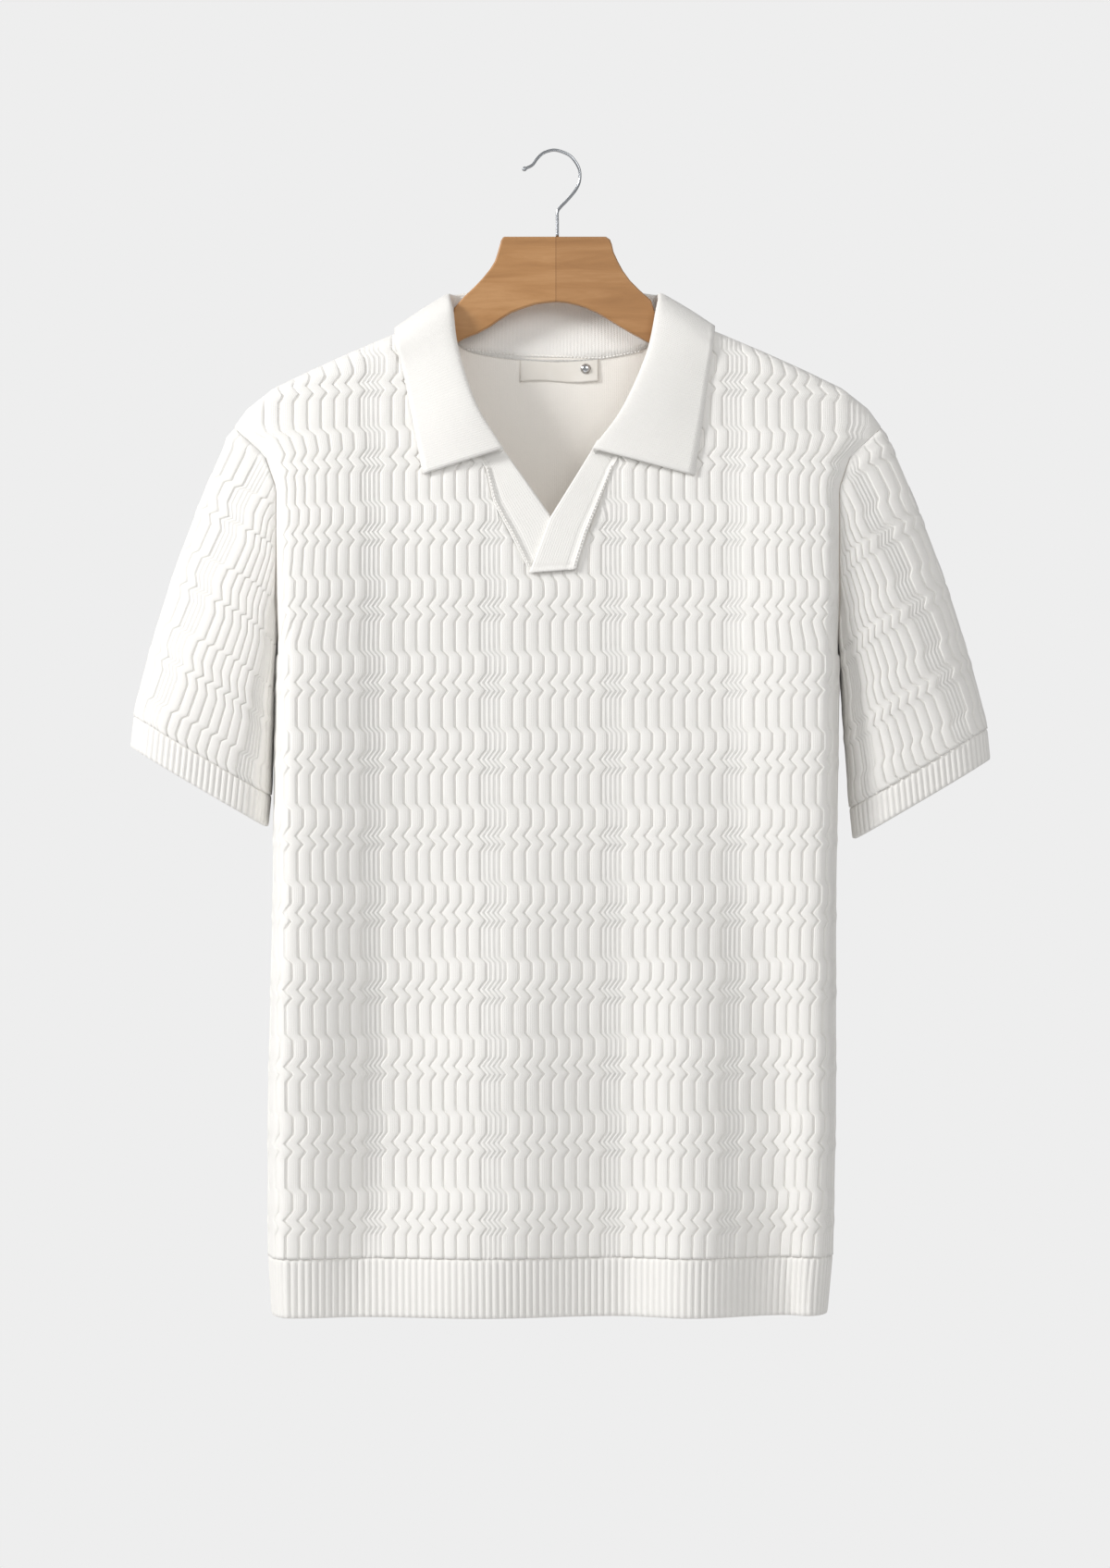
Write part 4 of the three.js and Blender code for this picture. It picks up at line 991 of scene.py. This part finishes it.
def knit_placket(name):
    """One strip of the V opening, with a sunk seam line along its outer edge."""
    rows = np.array(PLACKET[name], float)
    down = np.linspace(0, 1, 41)
    across = np.linspace(0, 1, 25)
    stations = np.linspace(0, 1, len(rows))
    points, uvs = [], []
    for t in down:
        inner_x, inner_z, outer_x, outer_z = [np.interp(t, stations, rows[:, k]) for k in range(4)]
        for s in across:
            # The outer edge laps 2 mm over the panel's edge
            reach = s - 0.08 * (1 - s)
            x, z = outer_x + (inner_x - outer_x) * reach, outer_z + (inner_z - outer_z) * reach
            lift = OVERLAP * smoothstep(t, 0.25, 0.55) if name == "over" else 0.0
            groove = 0.6 * math.exp(-((s - 0.2) / 0.03) ** 2)
            soft = 0.5 * math.sin(PI * min(s / 0.12, (1 - s) / 0.12, 1) / 2)
            over_edge = 1.7 * max(smoothstep(0.12 - s, 0, 0.1), smoothstep(t, 0.88, 0.95))
            y = -(depth("front", x, z) + lift + soft - groove + over_edge)
            points.append((x, y, z))
            uvs.append((s * 26, t * 95))
    made = new_mesh_object(f"placket_{name}_knit", points, grid_faces(len(down), len(across)), uvs)
    if made.data.polygons[0].normal.y > 0:
        made.data.flip_normals()
    thicken(made, 1.7 * MM)
    finish_piece(made, material_for("collar"), "collar_knit", f"placket_{name}")
    return made


def neck_label():
    """Bare leather label, slightly waved."""
    across, down = np.linspace(0, 1, 41), np.linspace(0, 1, 13)
    points, uvs = [], []
    for s in across:
        for t in down:
            x = -27.9 + 58.2 * s
            z = -168 + 17.5 * t + 0.8 * math.sin(PI * s * 2.2) * (1 - t)
            wave = 0.5 * (1 - t) * (1 + math.sin(PI * (s * 2.6 + 0.2)))
            y = depth("back", x, z) - 1.8 - 0.45 - wave
            points.append((x, y, z))
            uvs.append((x, z))
    made = new_mesh_object("bare_label", points, grid_faces(len(across), len(down)), uvs)
    if made.data.polygons[0].normal.y > 0:
        made.data.flip_normals()
    thicken(made, 0.8 * MM)
    finish_piece(made, material_for("leather"), "label_leather", "neck_label")
    return made
    return made


def snap_dome():
    """Polished dome of the snap on the label, with a thin rim."""
    low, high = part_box("label_snap")
    centre = ((Vector(low) + Vector(high)) / 2) / MM
    outline = [
        (0.0, 1.9), (1.4, 1.75), (2.6, 1.25), (3.3, 0.6), (3.45, 0.3), (3.8, 0.25), (3.8, 0.0), (0.0, 0.0),
    ]
    base = high[1] / MM
    segments = 48
    points, faces = [], []
    for radius, height in outline:
        for k in range(segments):
            angle = 2 * PI * k / segments
            x, z = centre.x + radius * math.cos(angle), centre.z + radius * math.sin(angle)
            points.append((x, base - height, z))
    for ring in range(len(outline) - 1):
        for k in range(segments):
            a, b = ring * segments + k, ring * segments + (k + 1) % segments
            faces.append((a, b, b + segments, a + segments))
    made = new_mesh_object("snap_dome", points, faces)
    mesh = bmesh.new()
    mesh.from_mesh(made.data)
    bmesh.ops.remove_doubles(mesh, verts=mesh.verts, dist=1e-6)
    bmesh.ops.recalc_face_normals(mesh, faces=mesh.faces)
    mesh.to_mesh(made.data)
    mesh.free()
    finish_piece(made, material_for("snap"), "snap_metal", "label_snap")


def wood_outline():
    """Outline of the hanger in millimetres: arched bar and an arm in each shoulder."""
    inner, end, under, height = 96, 212, 6, 24
    arm = np.linspace(inner, end - 10, 14)
    top = shoulder_z(arm) - under
    end_z = top[-1]
    tip = [(end - 4, end_z - 2.5), (end, end_z - 8), (end + 0.5, end_z - 14), (end - 3, end_z - 20),
           (end - 9, end_z - 22.5), (end - 16, end_z - 22.5)]
    low = [(x, z - height) for x, z in zip(arm[:-1], top[:-1])]
    # Upright of the bar's waist on the right, and the arch under it, run clockwise
    right_waist = [
        (35.4, -62.9), (38.4, -65), (39.8, -68.5), (41, -74), (44.2, -81),
        (48, -88), (53, -94.9), (60, -102), (68.4, -109.5), (73, -123),
    ]
    right_arch = [
        (84, -147), (66, -140), (55, -134), (44.2, -127.8), (36, -122.5),
        (28.6, -118.3), (21, -115), (14.6, -112.9), (7, -111.2), (-1, -110.4),
    ]
    left_arch = [
        (-8, -111), (-16.3, -112.2), (-25, -115), (-34, -118.3), (-43, -124),
        (-51, -129.5), (-60, -134), (-68.7, -137.4), (-75.5, -141.4), (-86, -147),
    ]
    left_waist = [
        (-78, -125), (-76, -115), (-68.7, -106.8), (-61, -99.5), (-55, -93.2), (-50, -87),
        (-46.2, -80.9), (-44, -74), (-42.6, -69), (-41.8, -66), (-40, -62.9),
    ]
    right_arm = list(zip(arm, top)) + tip + low[::-1]
    left_arm = [(-x, z) for x, z in right_arm]
    return right_waist + right_arm + right_arch + left_arch + left_arm[::-1] + left_waist


def beech_hanger(sizes):
    """Wooden hanger with rounded edges."""
    outline = wood_outline()
    half = sizes.wood / 2 / MM
    mesh = bmesh.new()
    face = mesh.faces.new([mesh.verts.new((x * MM, -half * MM, z * MM)) for x, z in outline])
    extruded = bmesh.ops.extrude_face_region(mesh, geom=[face])
    moved = [v for v in extruded["geom"] if isinstance(v, bmesh.types.BMVert)]
    bmesh.ops.translate(mesh, verts=moved, vec=(0, 2 * half * MM, 0))
    bmesh.ops.recalc_face_normals(mesh, faces=mesh.faces)
    data = bpy.data.meshes.new("beech_hanger")
    mesh.to_mesh(data)
    mesh.free()
    made = bpy.data.objects.new("beech_hanger", data)
    bpy.context.scene.collection.objects.link(made)
    bevel = made.modifiers.new("Eased edges", "BEVEL")
    bevel.width = 1.3 * MM
    bevel.segments = 3
    bevel.limit_method = "ANGLE"
    bevel.angle_limit = math.radians(50)
    apply_modifiers(made)
    flat_shade_by_angle(made)
    finish_piece(made, material_for("wood"), "hanger_wood", "hanger_wood")


def flat_shade_by_angle(made):
    """Smooth shading apart from the big flat faces."""
    for polygon in made.data.polygons:
        polygon.use_smooth = len(polygon.vertices) == 4


def wire_hook(sizes):
    """Hook of bent wire with a small ball at its tip."""
    path = smooth_line([(x, 0, z) for x, z in HOOK], np.linspace(0, 1, 121))
    radius = sizes.wire / 2 / MM
    sides = 20
    points = []
    for k, here in enumerate(path):
        ahead = path[min(k + 1, len(path) - 1)] - path[max(k - 1, 0)]
        ahead /= np.linalg.norm(ahead)
        across = np.array([ahead[2], 0, -ahead[0]])
        for n in range(sides):
            angle = 2 * PI * n / sides
            outward = math.cos(angle) * across + np.array([0, math.sin(angle), 0])
            points.append(here + radius * outward)
    faces = []
    for k in range(len(path) - 1):
        for n in range(sides):
            a, b = k * sides + n, k * sides + (n + 1) % sides
            faces.append((a, b, b + sides, a + sides))
    faces.append(tuple(range((len(path) - 1) * sides, len(path) * sides)))
    made = new_mesh_object("wire_hook", points, faces)
    mesh = bmesh.new()
    mesh.from_mesh(made.data)
    ball = bmesh.ops.create_uvsphere(mesh, u_segments=24, v_segments=16, radius=1.8 * MM)
    bmesh.ops.translate(mesh, verts=ball["verts"], vec=(HOOK[0][0] * MM, 0, HOOK[0][1] * MM))
    bmesh.ops.recalc_face_normals(mesh, faces=mesh.faces)
    mesh.to_mesh(made.data)
    mesh.free()
    for polygon in made.data.polygons:
        polygon.use_smooth = True
    finish_piece(made, material_for("wire"), "hook_wire", "hanger_hook")


def stitch_tree():
    """Geometry Nodes tree that sets small linking stitches along a seam."""
    tree = bpy.data.node_groups.new("linking stitches", "GeometryNodeTree")
    face = tree.interface
    face.new_socket("Geometry", in_out="INPUT", socket_type="NodeSocketGeometry")
    face.new_socket("Pitch", in_out="INPUT", socket_type="NodeSocketFloat").default_value = 0.0026
    face.new_socket("Thickness", in_out="INPUT", socket_type="NodeSocketFloat").default_value = 0.0006
    face.new_socket("Material", in_out="INPUT", socket_type="NodeSocketMaterial")
    face.new_socket("Geometry", in_out="OUTPUT", socket_type="NodeSocketGeometry")
    entry = add_node(tree, "NodeGroupInput")
    curve = add_node(tree, "GeometryNodeMeshToCurve", links={"Mesh": entry.outputs["Geometry"]})
    spaced = add_node(tree, "GeometryNodeResampleCurve", {"mode": "LENGTH"},
                      {"Curve": curve.outputs["Curve"], "Length": entry.outputs["Pitch"]})
    tangent = add_node(tree, "GeometryNodeInputTangent")
    turn = add_node(tree, "FunctionNodeAlignRotationToVector", {"axis": "X"},
                    {"Vector": tangent.outputs["Tangent"]})
    bead = add_node(tree, "GeometryNodeMeshIcoSphere", {"Subdivisions": 2},
                    {"Radius": entry.outputs["Thickness"]})
    placed = add_node(tree, "GeometryNodeInstanceOnPoints", {"Scale": (1.9, 1.0, 1.0)},
                      {"Points": spaced.outputs["Curve"], "Instance": bead.outputs["Mesh"],
                       "Rotation": turn.outputs["Rotation"]})
    real = add_node(tree, "GeometryNodeRealizeInstances", links={"Geometry": placed.outputs["Instances"]})
    finish = add_node(tree, "GeometryNodeSetMaterial", links={
        "Geometry": real.outputs["Geometry"], "Material": entry.outputs["Material"]})
    add_node(tree, "NodeGroupOutput", links={"Geometry": finish.outputs["Geometry"]})
    return tree


def stitch_row(name, lines, tree):
    """One object of stitches along each of the given lines, in millimetres."""
    points, edges = [], []
    for line in lines:
        first = len(points)
        points += [tuple(np.asarray(p) * MM) for p in line]
        edges += [(first + k, first + k + 1) for k in range(len(line) - 1)]
    data = bpy.data.meshes.new(name)
    data.from_pydata(points, edges, [])
    made = bpy.data.objects.new(name, data)
    bpy.context.scene.collection.objects.link(made)
    modifier = made.modifiers.new("Stitches", "NODES")
    modifier.node_group = tree
    for item in tree.interface.items_tree:
        if item.in_out == "INPUT" and item.name == "Material":
            modifier[item.identifier] = material_for("collar")
    apply_modifiers(made)
    finish_piece(made, material_for("collar"), "collar_knit")


def seam_stitches():
    """Linking stitches where the collar, placket and panels are joined."""
    tree = stitch_tree()
    neck_x, _ = NECK["back"]
    xs = np.linspace(neck_x[2] + 4, neck_x[5] - 4, 60)
    back_z = np.interp(xs, *NECK["back"]) - 1.2
    back = [(x, depth("back", x, z) - 2.2, z) for x, z in zip(xs, back_z)]
    stitch_row("neck_seam_stitches", [back], tree)
    rows = {name: np.array(PLACKET[name], float) for name in PLACKET}
    lines = []
    for name, cloth in rows.items():
        stations = np.linspace(0, 1, len(cloth))
        line = []
        for t in np.linspace(0.2, 0.97, 60):
            x, z = np.interp(t, stations, cloth[:, 2]), np.interp(t, stations, cloth[:, 3])
            lift = OVERLAP * smoothstep(t, 0.25, 0.55) if name == "over" else 0.0
            line.append((x, -(depth("front", x, z) + lift + 1.9), z))
        lines.append(line)
    stitch_row("placket_seam_stitches", lines, tree)


def studio_air():
    """Pale, even surroundings: soft light on the shirt, and a lighter plain background in the picture."""
    world = bpy.data.worlds.new("studio air")
    world.use_nodes = True
    tree = world.node_tree
    soft = tree.nodes["Background"]
    soft.inputs["Color"].default_value = linear("#F6F6F6")
    soft.inputs["Strength"].default_value = 0.4
    plain = add_node(tree, "ShaderNodeBackground")
    plain.inputs["Color"].default_value = linear("#EEEEEE")
    plain.inputs["Strength"].default_value = 1.0
    ray = add_node(tree, "ShaderNodeLightPath")
    both = add_node(tree, "ShaderNodeMixShader")
    tree.links.new(ray.outputs["Is Camera Ray"], both.inputs[0])
    tree.links.new(soft.outputs["Background"], both.inputs[1])
    tree.links.new(plain.outputs["Background"], both.inputs[2])
    tree.links.new(both.outputs["Shader"], tree.nodes["World Output"].inputs["Surface"])
    return world


def studio():
    """Pale paper floor, soft light from the left, and the camera."""
    bpy.context.scene.world = studio_air()
    bpy.context.scene.view_settings.view_transform = "Standard"
    reach, floor_z = 2400.0, -1500.0
    corners = [(-reach, -reach), (reach, -reach), (reach, reach), (-reach, reach)]
    made = new_mesh_object("paper_floor", [(x, y, floor_z) for x, y in corners], [(0, 1, 2, 3)])
    made.data.materials.append(studio_paper())

    def lamp(name, place, target, size, power):
        light = bpy.data.lights.new(name, "AREA")
        light.shape = "SQUARE"
        light.size = size
        light.energy = power
        made_lamp = bpy.data.objects.new(name, light)
        made_lamp.location = place
        made_lamp.rotation_euler = (Vector(target) - Vector(place)).to_track_quat("-Z", "Y").to_euler()
        bpy.context.scene.collection.objects.link(made_lamp)

    lamp("left softbox", (-2.3, -1.2, 0.8), (0.0, 0.0, -0.35), 0.7, 58.0)
    lamp("front fill", (1.1, -2.8, 1.2), (0.05, 0.0, -0.2), 1.6, 26.0)
    lamp("back fill", (-1.0, 3.0, 0.9), (0.0, 0.0, -0.4), 2.0, 26.0)
    camera = bpy.data.cameras.new("front camera")
    distance, view_height = 3.7, 1.1526
    camera.sensor_fit = "VERTICAL"
    camera.sensor_height = 24.0
    camera.lens = camera.sensor_height * distance / view_height
    placed = bpy.data.objects.new("front camera", camera)
    placed.location = (-0.002, -distance, -0.4648)
    placed.rotation_euler = (PI / 2, 0, 0)
    bpy.context.scene.collection.objects.link(placed)
    bpy.context.scene.camera = placed


class MakeStage(bpy.types.Operator):
    """Make the paper floor, lights and camera"""

    bl_idname = "polo.stage"
    bl_label = "Studio"
    bl_options = {"REGISTER", "UNDO"}

    def execute(self, context):
        studio()
        return {"FINISHED"}


class MakePanels(bpy.types.Operator):
    """Make the front and back panels with their ribs"""

    bl_idname = "polo.panels"
    bl_label = "Body Panels"
    bl_options = {"REGISTER", "UNDO"}

    def execute(self, context):
        sizes = context.scene.polo_shirt
        for panel in ("front", "back"):
            made = knit_panel(panel, sizes)
        return {"FINISHED"}


class MakeBands(bpy.types.Operator):
    """Make the hem bands and the cuffs"""

    bl_idname = "polo.bands"
    bl_label = "Rib Bands"
    bl_options = {"REGISTER", "UNDO"}

    def execute(self, context):
        sizes = context.scene.polo_shirt
        for panel in ("front", "back"):
            hem_knit(panel, sizes)
        for side_name in CUFFS:
            made = knit_cuff(side_name, sizes)
        return {"FINISHED"}


class MakeSleeves(bpy.types.Operator):
    """Make both sleeves with their ribs"""

    bl_idname = "polo.sleeves"
    bl_label = "Sleeves"
    bl_options = {"REGISTER", "UNDO"}

    def execute(self, context):
        for side_name in CUFFS:
            made = knit_sleeve(side_name, context.scene.polo_shirt)
        return {"FINISHED"}


class MakeCollar(bpy.types.Operator):
    """Make the collar and the placket strips"""

    bl_idname = "polo.collar"
    bl_label = "Collar and Placket"
    bl_options = {"REGISTER", "UNDO"}

    def execute(self, context):
        knit_collar()
        for name in PLACKET:
            knit_placket(name)
        seam_stitches()
        return {"FINISHED"}


class MakeLabel(bpy.types.Operator):
    """Make the bare label and its snap"""

    bl_idname = "polo.label"
    bl_label = "Label and Snap"
    bl_options = {"REGISTER", "UNDO"}

    def execute(self, context):
        neck_label()
        snap_dome()
        return {"FINISHED"}


class MakeHanger(bpy.types.Operator):
    """Make the wooden hanger and its wire hook"""

    bl_idname = "polo.hanger"
    bl_label = "Hanger"
    bl_options = {"REGISTER", "UNDO"}

    def execute(self, context):
        beech_hanger(context.scene.polo_hanger)
        wire_hook(context.scene.polo_hanger)
        return {"FINISHED"}


class PoloPanel(bpy.types.Panel):
    """Lists the shirt's pieces and sizes"""

    bl_idname = "VIEW3D_PT_polo_shirt"
    bl_label = "Polo Shirt"
    bl_space_type = "VIEW_3D"
    bl_region_type = "UI"
    bl_category = "Polo Shirt"

    def draw(self, context):
        for sizes in (context.scene.polo_shirt, context.scene.polo_hanger):
            for name in sizes.bl_rna.properties.keys():
                if name not in ("rna_type", "name"):
                    self.layout.prop(sizes, name)
        for operator in OPERATORS:
            self.layout.operator(operator.bl_idname)


OPERATORS = (MakeStage, MakeHanger, MakePanels, MakeSleeves, MakeBands, MakeCollar, MakeLabel)
CLASSES = (ShirtSizes, HangerSizes) + OPERATORS + (PoloPanel,)


def register():
    for item in CLASSES:
        bpy.utils.register_class(item)
    bpy.types.Scene.polo_shirt = bpy.props.PointerProperty(type=ShirtSizes)
    bpy.types.Scene.polo_hanger = bpy.props.PointerProperty(type=HangerSizes)


def unregister():
    del bpy.types.Scene.polo_hanger
    del bpy.types.Scene.polo_shirt
    for item in reversed(CLASSES):
        bpy.utils.unregister_class(item)


def main():
    register()
    for operator in OPERATORS:
        group, name = operator.bl_idname.split(".")
        getattr(getattr(bpy.ops, group), name)()


if __name__ == "__main__":
    main()
